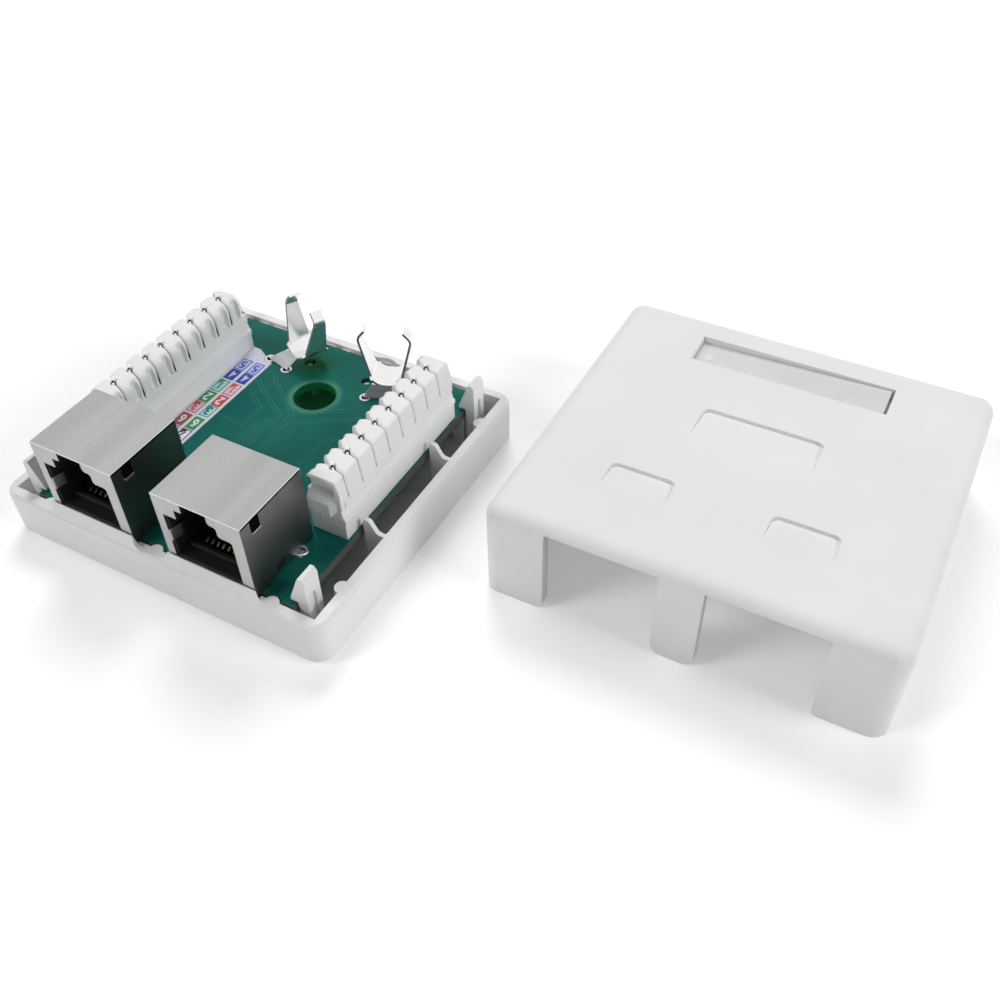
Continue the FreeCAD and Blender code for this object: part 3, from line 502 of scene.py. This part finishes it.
def revolved(centre, radii, heights, columns, wobble=0.0):
    # radius and height along a profile, turned about an upright axis; wobble swells the
    # radius three times round
    angle = np.linspace(0.0, 2.0 * math.pi, columns, endpoint=False)
    reach = np.asarray(radii, float)[:, None] * (1.0 + wobble * np.cos(3.0 * angle))[None, :]
    x = centre[0] + reach * np.cos(angle)
    y = centre[1] + reach * np.sin(angle)
    z = np.broadcast_to(centre[2] + np.asarray(heights, float)[:, None], x.shape)
    return np.stack([x, y, z], 2)


def roundEdges(made, width):
    edges = made.modifiers.new("softEdges", "BEVEL")
    edges.width = width * millimetre
    edges.segments = meshWork["bevelSegments"]
    edges.limit_method = "ANGLE"
    edges.angle_limit = math.radians(meshWork["bevelFrom"])
    edges.harden_normals = True
    shadeSmooth(made)


def prism(name, rings, finishMade, body, width):
    # rings of points joined in a row, with a flat face over the first and the last; width
    # is how far its edges are rounded, in millimetres
    count = len(rings[0])
    made = meshObject(name, np.concatenate(rings), gridFaces(len(rings), count, True))
    work = bmesh.new()
    work.from_mesh(made.data)
    work.verts.ensure_lookup_table()
    work.faces.new(work.verts[:count])
    work.faces.new(work.verts[-count:])
    bmesh.ops.recalc_face_normals(work, faces=work.faces)
    work.to_mesh(made.data)
    work.free()
    roundEdges(made, width)
    made.data.materials.append(finishMade)
    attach(made, body)


def placed(points, at, turn):
    # turns millimetre points about the upright axis, moves them and goes to metres
    angle = math.radians(turn)
    x = points[..., 0] * math.cos(angle) - points[..., 1] * math.sin(angle) + at[0]
    y = points[..., 0] * math.sin(angle) + points[..., 1] * math.cos(angle) + at[1]
    return np.stack([x * millimetre, y * millimetre,
                     points[..., 2] * millimetre + boardTop], -1)


combBody = {   # millimetres and degrees; x across the comb, y along it, z up from the board
    "ways": 8, "pitch": 3.78, "half": 3.0, "end": 16.2,
    "rootHalf": 1.5, "rootLow": 2.15, "under": 5.75, "top": 11.65,
    "slantFrom": 9.2, "slantIn": 0.45, "shoulderSteps": 7,
    "edge": 0.42, "edgeAngles": (0.0, 25.0, 50.0, 70.0, 90.0), "crease": 50.0,
    "gapHalf": 0.12, "gapFloor": 7.3, "gapSlant": -0.27, "gapWide": 0.72,
    "wideFrom": 0.9, "wideOver": 1.5, "pocket": 0.52,
    "overFloor": 0.12, "floorMargin": 0.01, "leftMiddle": 8.4,      # the outline's own points
    "topPoints": (-1.6, -1.2, -0.8, -0.55, -0.25, 0.0, 0.25, 0.55, 0.8, 1.2, 1.6),
    "topMargin": 0.1,
    "flute": 0.8, "fluteHalf": 0.62, "fluteShift": 0.5, "fluteSide": -1.0, "fluteFlat": 2.6,
    "fluteSteps": 9, "shiftOver": 2.0,
    "recessLow": 8.6, "recessHigh": 10.8, "recessRight": 1.95, "recessSteps": 6, "into": 0.3,
    "lipFront": 16.8, "lipLow": 4.3, "lipBend": 7.0, "lipHigh": 8.4, "lipRight": 1.05,
    "lipFade": 2.1, "lipProud": 0.03, "lipUnder": 0.1, "lipInset": 0.02,
    "bevel": 0.22, "lipBevel": 0.15,
}
combSides = {   # where each comb stands, its wide side, how round its top edges are, how deep
    # the recess in its first end is, and how round that end is
    "left": {"at": (-21.55, 3.7), "turn": 180.0, "wide": 1.0, "leftRound": 1.9,
             "rightRound": 1.3, "recess": 0.0, "endRound": 1.5},
    "right": {"at": (21.55, 3.7), "turn": 0.0, "wide": -1.0, "leftRound": 1.4,
              "rightRound": 0.35, "recess": 0.9, "endRound": 0.42},
}


def combOutline(c, leftRound, rightRound):
    # once round the comb across its length: root, left face, round shoulder, top,
    # shoulder, slanted right face; the shoulders are quarter circles
    bend = np.radians(np.linspace(0.0, 90.0, c["shoulderSteps"]))
    left = np.column_stack([-c["half"] + leftRound * (1.0 - np.cos(bend)),
                            c["top"] - leftRound * (1.0 - np.sin(bend))])
    right = np.column_stack([c["half"] - c["slantIn"] - rightRound * (1.0 - np.sin(bend)),
                             c["top"] - rightRound * (1.0 - np.cos(bend))])
    low = [(-c["rootHalf"], c["rootLow"]), (-c["rootHalf"], c["under"]),
           (-c["half"], c["under"]), (-c["half"], c["gapFloor"]),
           (-c["half"], c["gapFloor"] + c["overFloor"]), (-c["half"], c["leftMiddle"])]
    first = left[-1, 0] + c["topMargin"]
    last = right[0, 0] - c["topMargin"]
    high = [(x, c["top"]) for x in c["topPoints"] if first < x < last]
    fall = [(c["half"], c["slantFrom"]), (c["half"], c["gapFloor"]), (c["half"], c["under"]),
            (c["rootHalf"], c["under"]), (c["rootHalf"], c["rootLow"])]
    return np.vstack([low, left, high, right, fall])


def combGrid(c, side):
    # rows stand along the comb; a gap runs aslant across it, widens to a circle round the
    # blade and by a smooth step towards one side; a tooth's first and last rows shrink
    # inwards as a quarter circle, a gap's rows are the outline cut off at the gap's floor,
    # and the flute down the left face is the deeper of that face and a flat-bottomed cut
    outline = combOutline(c, side["leftRound"], side["rightRound"])
    across = outline[:, 0]
    ahead = np.roll(outline, -1, 0) - np.roll(outline, 1, 0)
    inward = np.column_stack([ahead[:, 1], -ahead[:, 0]])
    inward = inward / np.linalg.norm(inward, axis=1, keepdims=True)
    above = (outline[:, 1] > c["gapFloor"] + c["floorMargin"]).astype(float)
    cut = np.column_stack([across, np.minimum(outline[:, 1], c["gapFloor"])])
    fluted = (across < c["fluteSide"]) & (above > 0)
    bend = np.radians(np.array(c["edgeAngles"]))
    off = c["edge"] * (1.0 - np.cos(bend))
    shrink = c["edge"] * (1.0 - np.sin(bend))
    middle = np.linspace(-1.0, 1.0, c["fluteSteps"])
    depth = np.clip(c["fluteFlat"] * np.cos(middle * math.pi / 2.0), 0.0, 1.0) * c["flute"]
    floor = np.concatenate([off * 0.0, depth, off * 0.0])[:, None] - c["half"]
    pocket = np.sqrt(np.maximum(c["pocket"] ** 2 - across ** 2, 0.0))
    step = np.clip((across * side["wide"] - c["wideFrom"]) / c["wideOver"], 0.0, 1.0)
    spread = c["gapHalf"] + (c["gapWide"] - c["gapHalf"]) * step ** 2 * (3.0 - 2.0 * step)
    half = np.maximum(pocket, spread)
    leftness = np.clip(-across / c["shiftOver"], 0.0, 1.0)
    ways = (np.arange(c["ways"]) - (c["ways"] - 1) / 2.0) * c["pitch"]
    lines = ways[:, None] + c["gapSlant"] * across[None]
    flat = np.ones((1, len(across)))
    starts = np.concatenate([flat * (side["recess"] - c["end"]), lines + half])
    stops = np.concatenate([lines - half, flat * c["end"]])
    rows = []
    for number, (start, stop) in enumerate(zip(starts, stops)):
        first = side["endRound"] / c["edge"] if number == 0 else 1.0
        begin = start + c["edge"] * first
        reach = np.minimum(c["fluteHalf"], (stop - begin - c["edge"]) / 2.0)
        slack = (stop - begin - c["edge"]) / 2.0 - reach
        shift = np.minimum(c["fluteShift"], slack) * leftness
        centre = (begin + stop - c["edge"]) / 2.0 - shift
        along = np.concatenate([start + off[:, None] * first, centre + middle[:, None] * reach,
                                stop - off[::-1, None]])
        inset = np.concatenate([shrink * first, middle * 0.0, shrink[::-1]])
        tooth = outline[None] + inward[None] * (inset[:, None] * above[None])[:, :, None]
        toothX = np.where(fluted[None], np.maximum(tooth[:, :, 0], floor), tooth[:, :, 0])
        tooth = np.stack([toothX, along, tooth[:, :, 1]], 2)
        low = [np.column_stack([cut[:, 0], y, cut[:, 1]])[None] for y in (start, stop)]
        if number > 0:
            rows.append(low[0])
        rows.append(tooth)
        if number < len(ways):
            rows.append(low[1])
    return pinched(np.concatenate(rows))


def addCombLip(c, side, word):
    # the hook's side view at three places across the comb; the last one falls back to the
    # comb's end face
    back = -c["end"] + c["into"]
    view = np.array([(back, c["lipHigh"]), (-c["lipFront"], c["lipBend"]),
                     (-c["lipFront"], c["lipLow"]), (back, c["lipLow"])])
    rows = np.stack([view] * 3)
    rows[2, 1:3, 0] = -c["end"] - c["lipProud"]
    rows[2, 2:, 1] = c["under"] - c["lipUnder"]
    across = np.array([-c["half"] + c["lipInset"], c["lipRight"], c["lipFade"]])
    lip = np.stack([np.broadcast_to(across[:, None], rows.shape[:2]),
                    rows[:, :, 0], rows[:, :, 1]], 2)
    prism("combLip_" + word, list(placed(lip, side["at"], side["turn"])), blockPlastic, "base",
          c["lipBevel"])


def addCombEnd(c, side, word):
    # the end of the comb in front of its recess: a C of the comb's own outline, with the
    # same quarter circle over its left shoulder
    big = side["leftRound"]
    begin = math.degrees(math.asin(max(1.0 - (c["top"] - c["recessHigh"]) / big, 0.0)))
    bend = np.radians(np.linspace(begin, 90.0, c["recessSteps"]))
    shoulder = np.column_stack([-c["half"] + big * (1.0 - np.cos(bend)),
                                c["top"] - big * (1.0 - np.sin(bend))])
    outline = np.array([(-c["half"], c["under"]), (-c["half"], c["recessLow"]),
                        (c["recessRight"], c["recessLow"]), (c["recessRight"], c["recessHigh"]),
                        *shoulder, (c["half"] - c["slantIn"] - c["topMargin"], c["top"]),
                        (c["half"], c["slantFrom"]), (c["half"], c["under"]),
                        (c["rootHalf"], c["under"]), (c["rootHalf"], c["rootLow"]),
                        (-c["rootHalf"], c["rootLow"]), (-c["rootHalf"], c["under"])])
    ends = [placed(np.column_stack([outline[:, 0], np.full(len(outline), y), outline[:, 1]]),
                   side["at"], side["turn"])
            for y in (-c["end"], -c["end"] + side["recess"] + c["into"])]
    prism("combEnd_" + word, ends, blockPlastic, "base", c["bevel"])


bladeTip = {   # millimetres and degrees: each blade's two prongs, domed, one a little lower
    "turn": 135.0, "columns": 12,
    "radii": (1.0, 1.0, 0.9, 0.66, 0.33), "heights": (-2.6, -0.3, -0.14, -0.04, 0.0),
    "prongs": ((-0.36, 0.2, 11.7), (0.3, 0.36, 12.15)),   # away, thick, top
    "slot": (-0.1, 0.25, 11.86),
}


def addBladeTips(c, side, word):
    # each prong's rounded end, standing in the pocket between two teeth, in a whiter tin as a
    # painted highlight, and the slot between the two prongs as a dark painted shade
    t = bladeTip
    turn = math.radians(t["turn"])
    for name, finishMade, stems in (("bladeTips_", tipMetal, t["prongs"]),
                                    ("bladeSlots_", darkGap, (t["slot"],))):
        patches = []
        for number in range(c["ways"]):
            way = (number - (c["ways"] - 1) / 2.0) * c["pitch"]
            for away, thick, top in stems:
                away = away * -side["wide"]
                centre = (away * math.cos(turn), way + away * math.sin(turn), top)
                radii = np.array(t["radii"]) * thick
                prong = pinched(revolved(centre, radii, t["heights"], t["columns"]))
                patches.append(placed(prong, side["at"], side["turn"]))
        shadeSmooth(sweptObject(name + word, patches, finishMade, "base"))


def addCombs():
    c = combBody
    for word, side in combSides.items():
        body = placed(combGrid(c, side), side["at"], side["turn"])
        comb = sweptObject("toothedComb_" + word, [body], blockPlastic, "base")
        shadeSmooth(comb)
        comb.data.set_sharp_from_angle(angle=math.radians(c["crease"]))
        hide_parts("punch_comb_" + word)
        if side["recess"] > 0.0:
            addCombEnd(c, side, word)
            addCombLip(c, side, word)
        addBladeTips(c, side, word)


addCombs()
print("combs made")


blockRail = {   # millimetres: side view of the rail on the base's two long sides
    "end": 16.25, "view": [(2.3, 3.2), (3.4, 3.2), (3.42, 3.95), (3.3, 4.15), (2.3, 4.5)],
    "bevel": 0.08,
}


def addBlockRails():
    r = blockRail
    for word, side in combSides.items():
        for way, flip in (("Outer", 1.0), ("Inner", -1.0)):
            view = np.array(r["view"]) * (flip, 1.0)
            rings = [placed(np.column_stack([view[:, 0], np.full(len(view), y), view[:, 1]]),
                            side["at"], side["turn"]) for y in (-r["end"], r["end"])]
            prism("blockRail" + way + "_" + word, rings, blockPlastic, "base", r["bevel"])


addBlockRails()
print("block rails made")


shieldTrim = {   # millimetres, from the middle of each jack: folded edges, seam and latch
    "middles": {"left": -11.67, "right": 11.67}, "half": 8.0, "front": -28.33, "rear": -14.36,
    "top": 23.33, "bead": 0.1, "beadSides": 8, "into": 0.1,
    "seam": (22.84, 23.1), "seamProud": 0.04, "seamFront": 0.2, "seamRear": 0.3,
    "latch": (-26.2, -24.35, 20.75, 22.95), "latchProud": 0.08, "lip": 0.2, "lipProud": 0.22,
}


def sidePatch(x, proud, rear, front, low, high):
    # a thin block on a jack's right side: its outline at two distances across
    view = np.array([(front, low), (rear, low), (rear, high), (front, high)])
    rows = [np.column_stack([np.full(len(view), place), view])
            for place in (x - shieldTrim["into"], x + proud)]
    return pinched(np.stack(rows)) * millimetre


def addShieldTrim():
    # a round bead along the top's front and right folds in a paler tin as a painted highlight,
    # a painted-shade seam under the right one, and the latch's window as painted shade with a
    # painted highlight on its lower lip
    t = shieldTrim
    around = np.radians(np.arange(t["beadSides"]) * 360.0 / t["beadSides"])
    bead = np.column_stack([np.cos(around), np.sin(around)]) * t["bead"] * millimetre
    first, last, low, high = t["latch"]
    for word, middle in t["middles"].items():
        right = middle + t["half"]
        level = t["top"] - t["bead"]
        path = [(middle - t["half"] + t["bead"], t["front"], level), (right, t["front"], level),
                (right, t["rear"] - t["bead"], level)]
        paintedHighlights = [carried(np.array(path) * millimetre, bead),
                  sidePatch(right, t["lipProud"], last, first, low - t["lip"], low)]
        sweptObject("shieldFold_" + word, paintedHighlights, tinnedMetal, "base")
        # painted shade: dark strips for the seam and the latch's window
        dark = [sidePatch(right, t["seamProud"], t["rear"] - t["seamRear"],
                          t["front"] + t["seamFront"], *t["seam"]),
                sidePatch(right, t["latchProud"], last, first, low, high)]
        sweptObject("shieldSeam_" + word, dark, darkGap, "base")


addShieldTrim()
print("shield trim made")


tabSolder = {   # millimetres
    "at": (19.75, -17.6, 8.78), "radii": (0.62, 0.72, 0.95, 1.12, 1.2),
    "heights": (-0.05, 0.16, 0.22, 0.12, -0.05), "columns": 32, "wobble": 0.05,
}


def addTabSolder():
    # the low uneven collar of solder round the shield's tab
    s = tabSolder
    collar = pinched(revolved(s["at"], s["radii"], s["heights"], s["columns"], s["wobble"]))
    shadeSmooth(sweptObject("tabSolder", [collar * millimetre], tinnedMetal, "base"))


addTabSolder()
print("tab solder made")


boardTracks = {   # plan points in millimetres; each track shows as its two raised edges
    "half": 0.3, "edge": 0.07, "rise": 0.02,
    "paths": [
        [(-9.4, 15.2), (-8.9, 13.7), (-2.6, 9.2), (-0.85, 7.8), (-0.58, 7.2), (-0.58, -2.6)],
        [(8.5, 15.2), (8.0, 13.3), (1.85, 9.2), (0.38, 7.8), (0.38, -2.6)],
        [(-12.0, 12.7), (-10.0, 11.1), (-2.6, 6.6), (-2.3, 6.3), (-2.3, -2.3)],
        [(-10.7, 8.9), (-6.5, 6.4), (-6.5, 1.5), (-11.9, 1.5)],
        [(10.7, 12.2), (9.6, 11.3), (1.85, 6.6), (1.67, 6.3), (1.67, -2.3)],
        [(10.0, 5.5), (8.3, 5.4), (8.3, -1.5), (7.4, -2.3)],
        [(-4.8, 3.3), (-4.8, -2.3)],
        [(-3.5, 4.8), (-3.5, -2.3)],
        [(-3.0, 21.0), (0.0, 18.5)],
        [(-7.8, 24.8), (-6.5, 20.7), (-0.7, 18.0)],
    ],
}


def addTracks():
    # two thin ridges carried along each track, half its width to either side
    t = boardTracks
    patches = []
    for plan in t["paths"]:
        path = np.column_stack([np.array(plan) * millimetre, np.full(len(plan), boardTop)])
        for edge in (-t["half"], t["half"]):
            profile = [(edge - t["edge"], -t["rise"]), (edge + t["edge"], -t["rise"]),
                       (edge + t["edge"], t["rise"]), (edge - t["edge"], t["rise"])]
            patches.append(carried(path, np.array(profile) * millimetre))
    sweptObject("boardTracks", patches, trackLacquer, "base")


addTracks()
print("board tracks made")


labelPrint = {   # millimetres; rows from the far end, each with its digit and two fields
    "columns": ((-17.75, -15.6), (-14.95, -12.9)),
    "rows": [
        (13.0, 16.2, "5", ("blue", "paleBlue", "blue"), ("blue", "paleBlue", "blue")),
        (10.0, 12.9, "4", ("blue", "blue", "white"), ("blue", "blue", "white")),
        (6.3, 9.6, "1", ("green", "paleGreen", "blue"), ("red", "paleRed", "red")),
        (3.0, 6.0, "2", ("green", "green", "white"), ("red", "red", "white")),
        (-0.1, 2.9, "3", ("red", "paleRed", "red"), ("green", "paleGreen", "blue")),
        (-3.8, -0.6, "6", ("brown", "brown", "white"), ("green", "green", "white")),
        (-6.9, -4.0, "7", ("black", "white", "black"), ("black", "white", "black")),
        (-10.2, -7.2, "8", ("black", "black", "white"), ("black", "black", "white")),
    ],
    "border": 0.2, "digitWide": 0.95, "digitTall": 1.7, "stroke": 0.16, "layer": 0.012,
    "strokeLayers": 6.0, "uncutDigit": "5", "cutAcross": 1.25, "cutAlong": 1.45,
}
inks = {
    "blue": (34, 62, 165), "paleBlue": (176, 192, 236), "green": (40, 140, 80),
    "paleGreen": (165, 215, 200), "red": (185, 70, 60), "paleRed": (225, 190, 205),
    "brown": (150, 75, 70), "black": (60, 50, 50), "white": (232, 232, 242),
}
digitStrokes = {   # in a box one wide and one tall
    "1": [(0.5, 0.0), (0.5, 1.0), (0.25, 0.78)],
    "2": [(0.1, 0.8), (0.3, 1.0), (0.7, 1.0), (0.9, 0.8), (0.9, 0.6), (0.1, 0.0), (0.95, 0.0)],
    "3": [(0.1, 0.9), (0.35, 1.0), (0.7, 1.0), (0.9, 0.8), (0.85, 0.6), (0.5, 0.52),
          (0.9, 0.4), (0.9, 0.15), (0.65, 0.0), (0.35, 0.0), (0.1, 0.12)],
    "4": [(0.7, 0.0), (0.7, 1.0), (0.1, 0.3), (0.95, 0.3)],
    "5": [(0.85, 1.0), (0.2, 1.0), (0.15, 0.55), (0.6, 0.6), (0.9, 0.4), (0.85, 0.1),
          (0.6, 0.0), (0.15, 0.05)],
    "6": [(0.8, 0.95), (0.4, 0.9), (0.15, 0.5), (0.15, 0.2), (0.4, 0.0), (0.7, 0.0),
          (0.9, 0.2), (0.8, 0.45), (0.5, 0.55), (0.2, 0.4)],
    "7": [(0.1, 1.0), (0.9, 1.0), (0.4, 0.0)],
    "8": [(0.5, 0.53), (0.2, 0.7), (0.25, 0.92), (0.5, 1.0), (0.75, 0.92), (0.8, 0.7),
          (0.5, 0.53), (0.15, 0.3), (0.2, 0.08), (0.5, 0.0), (0.8, 0.08), (0.85, 0.3),
          (0.52, 0.52)],
}
inkLook = {"fibre": (1500.0, 3.0, 0.7), "depth": 0.000006, "strength": 0.3,
           "spread": 0.1, "least": 0.4, "paler": 14}


def makeInk(name, shade):
    # flat print on paper: the paper's fibre shows through a little
    paler = [min(255, value + inkLook["paler"]) for value in shade]
    return makePaper(name, colour(*shade), colour(*paler), inkLook)


def addLabelPrint():
    # fields are thin slabs and digits are strokes carried along their lines, half a turn
    # round, in one piece for each ink; most fields with two inks have one in a cut corner
    p = labelPrint
    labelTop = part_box("wiring_label")[1][2] / millimetre
    bottom, frameTop, fieldTop = (labelTop + p["layer"] * number for number in (-2, 1, 2))
    s = p["stroke"]
    deep = p["strokeLayers"] * p["layer"]
    b = p["border"]
    patches = {ink: [] for ink in inks}
    for low, high, digit, *fields in p["rows"]:
        for (left, right), (frameInk, fieldInk, digitInk) in zip(p["columns"], fields):
            whole = [(left, low), (right, low), (right, high), (left, high)]
            patches[frameInk].append(slab(whole, bottom, frameTop))
            if frameInk != fieldInk:
                corner = [(left + b, high - b)]
                if digit != p["uncutDigit"]:
                    corner = [(left + p["cutAcross"], high - b),
                              (left + b, high - p["cutAlong"])]
                inner = [(left + b, low + b), (right - b, low + b), (right - b, high - b),
                         *corner]
                patches[fieldInk].append(slab(inner, bottom, fieldTop))
            line = np.array(digitStrokes[digit])
            x = (left + right) / 2.0 - (line[:, 0] - 0.5) * p["digitWide"]
            y = (low + high) / 2.0 - (line[:, 1] - 0.5) * p["digitTall"]
            path = np.column_stack([x, y, np.full(len(line), bottom)])
            profile = [(-s, 0.0), (s, 0.0), (s, deep), (-s, deep)]
            patches[digitInk].append(carried(path, profile))
    for ink, shade in inks.items():
        if patches[ink]:
            sweptObject("labelPrint_" + ink, [patch * millimetre for patch in patches[ink]],
                        makeInk("ink_" + ink, shade), "base")


addLabelPrint()
print("label print made")


gateMark = {   # millimetres; the window's top climbs a little towards +X
    "at": (60.04, 45.40, 16.656), "climb": 0.0266, "radii": (1.0, 0.98, 0.92, 0.85, 0.8),
    "heights": (-0.08, 0.03, 0.06, 0.03, -0.02), "columns": 32,
}


def addGateMark():
    # the round scar that the moulding's gate left on the window
    g = gateMark
    mark = pinched(revolved(g["at"], g["radii"], g["heights"], g["columns"]))
    mark[:, :, 2] += g["climb"] * (mark[:, :, 0] - g["at"][0])
    shadeSmooth(sweptObject("windowGateMark", [mark * millimetre], windowScar, "cover"))


addGateMark()
print("gate mark made")


cameraView = {
    "azimuth": 29.62,       # degrees round from the front towards +X
    "elevation": 45.04,
    "roll": -1.43,
    "right": 0.03881,       # where the camera stands along its own three axes, metres
    "up": -0.00364,
    "back": 0.1865,
    "lens": 38.63,          # millimetres, as the sensor
    "sensor": 36.0,
    "clip": (0.005, 20.0),
}


def addCamera(view):
    azimuth, elevation, roll = (math.radians(view[key])
                                for key in ("azimuth", "elevation", "roll"))
    back = Vector((math.sin(azimuth) * math.cos(elevation),
                   -math.cos(azimuth) * math.cos(elevation), math.sin(elevation)))
    level = Vector((math.cos(azimuth), math.sin(azimuth), 0.0))
    upward = back.cross(level)
    right = math.cos(roll) * level + math.sin(roll) * upward
    up = -math.sin(roll) * level + math.cos(roll) * upward
    data = bpy.data.cameras.new("camera")
    data.lens = view["lens"]
    data.sensor_width = view["sensor"]
    data.clip_start, data.clip_end = view["clip"]
    camera = addObject("camera", data)
    place = view["right"] * right + view["up"] * up + view["back"] * back
    camera.matrix_world = Matrix((
        (right.x, up.x, back.x, place.x),
        (right.y, up.y, back.y, place.y),
        (right.z, up.z, back.z, place.z),
        (0.0, 0.0, 0.0, 1.0)))
    bpy.context.scene.camera = camera


studio = {
    "floorHalf": 1.5,       # metres
    "floorPoints": 9,       # along each side
    "floorDrop": 0.00002,
    "floorGrey": 0.93,
    "floorShare": 0.11,     # share of plain glow in what the camera sees of the floor
    "floorGlow": 2.7,
    "farFrom": 0.2,         # shares of floorHalf between which the floor turns plain white
    "farTo": 0.45,
    "worldGrey": 0.14,
    "aim": (0.035, 0.01, 0.0),
}
lamps = {   # place and width in metres, power in watts
    "backLeft": {"place": (-0.35, 0.75, 1.1), "width": 0.6, "power": 8.8},
    "frontLeft": {"place": (-0.8, -0.9, 0.9), "width": 0.6, "power": 7.7},
    "right": {"place": (1.2, 0.1, 0.7), "width": 0.6, "power": 8.2},
}


def seenDirectly(f):
    # 1 for rays from the camera, and for what gloss and glass show, else 0
    camera, glossy, through = (f.node("ShaderNodeLightPath", {}, {}, "Is " + kind + " Ray")
                               for kind in ("Camera", "Glossy", "Transmission"))
    return f.node("ShaderNodeMath", {"operation": "ADD", "use_clamp": True},
                  {0: camera + glossy, 1: through})


def addFloor():
    # one flat square of a few cells, plain white far from the object
    steps = np.linspace(-studio["floorHalf"], studio["floorHalf"], studio["floorPoints"])
    across, along = np.meshgrid(steps, steps)
    points = np.stack([across.ravel(), along.ravel(),
                       np.full(across.size, -studio["floorDrop"])], 1)
    floor = meshObject("studioFloor", points, gridFaces(len(steps), len(steps)))
    f = Finish("floorPaper")
    diffuse = f.node("ShaderNodeBsdfDiffuse", {}, {"Color": grey(studio["floorGrey"])})
    away = f.away(*f.axes()[:2]) * (1.0 / studio["floorHalf"])
    far = f.ramp(away, [(studio["farFrom"], 0.0), (studio["farTo"], 1.0)])
    shade = f.mix(far, grey(1.0), grey(1.0 / studio["floorGlow"]))
    glow = f.node("ShaderNodeEmission", {}, {"Color": shade, "Strength": studio["floorGlow"]})
    share = seenDirectly(f) * (far * (1.0 - studio["floorShare"]) + studio["floorShare"])
    both = f.node("ShaderNodeMixShader", {}, {0: share, 1: diffuse, 2: glow})
    f.node("ShaderNodeOutputMaterial", {}, {"Surface": both})
    floor.data.materials.append(f.material)


def addWorld():
    # a dim plain room that lights the object, and plain white where it is seen
    world = bpy.data.worlds.new("paleRoom")
    bpy.context.scene.world = world
    f = Finish("paleRoom", world)
    light, white = (f.node("ShaderNodeBackground", {}, {"Color": grey(level), "Strength": 1.0})
                    for level in (studio["worldGrey"], 1.0))
    both = f.node("ShaderNodeMixShader", {}, {0: seenDirectly(f), 1: light, 2: white})
    f.node("ShaderNodeOutputWorld", {}, {"Surface": both})


def addLamp(name, lamp):
    data = bpy.data.lights.new(name, "AREA")
    data.shape = "DISK"
    data.size = lamp["width"]
    data.energy = lamp["power"]
    made = addObject(name, data)
    made.visible_glossy = False     # metal shows the plain room, not the lamps
    made.location = Vector(lamp["place"])
    towards = Vector(studio["aim"]) - made.location
    made.rotation_euler = towards.to_track_quat("-Z", "Y").to_euler()


bpy.context.scene.view_settings.view_transform = "Standard"
addCamera(cameraView)
addFloor()
addWorld()
for lampName, lamp in lamps.items():
    addLamp(lampName + "Lamp", lamp)
print("camera, floor, world and lamps placed")
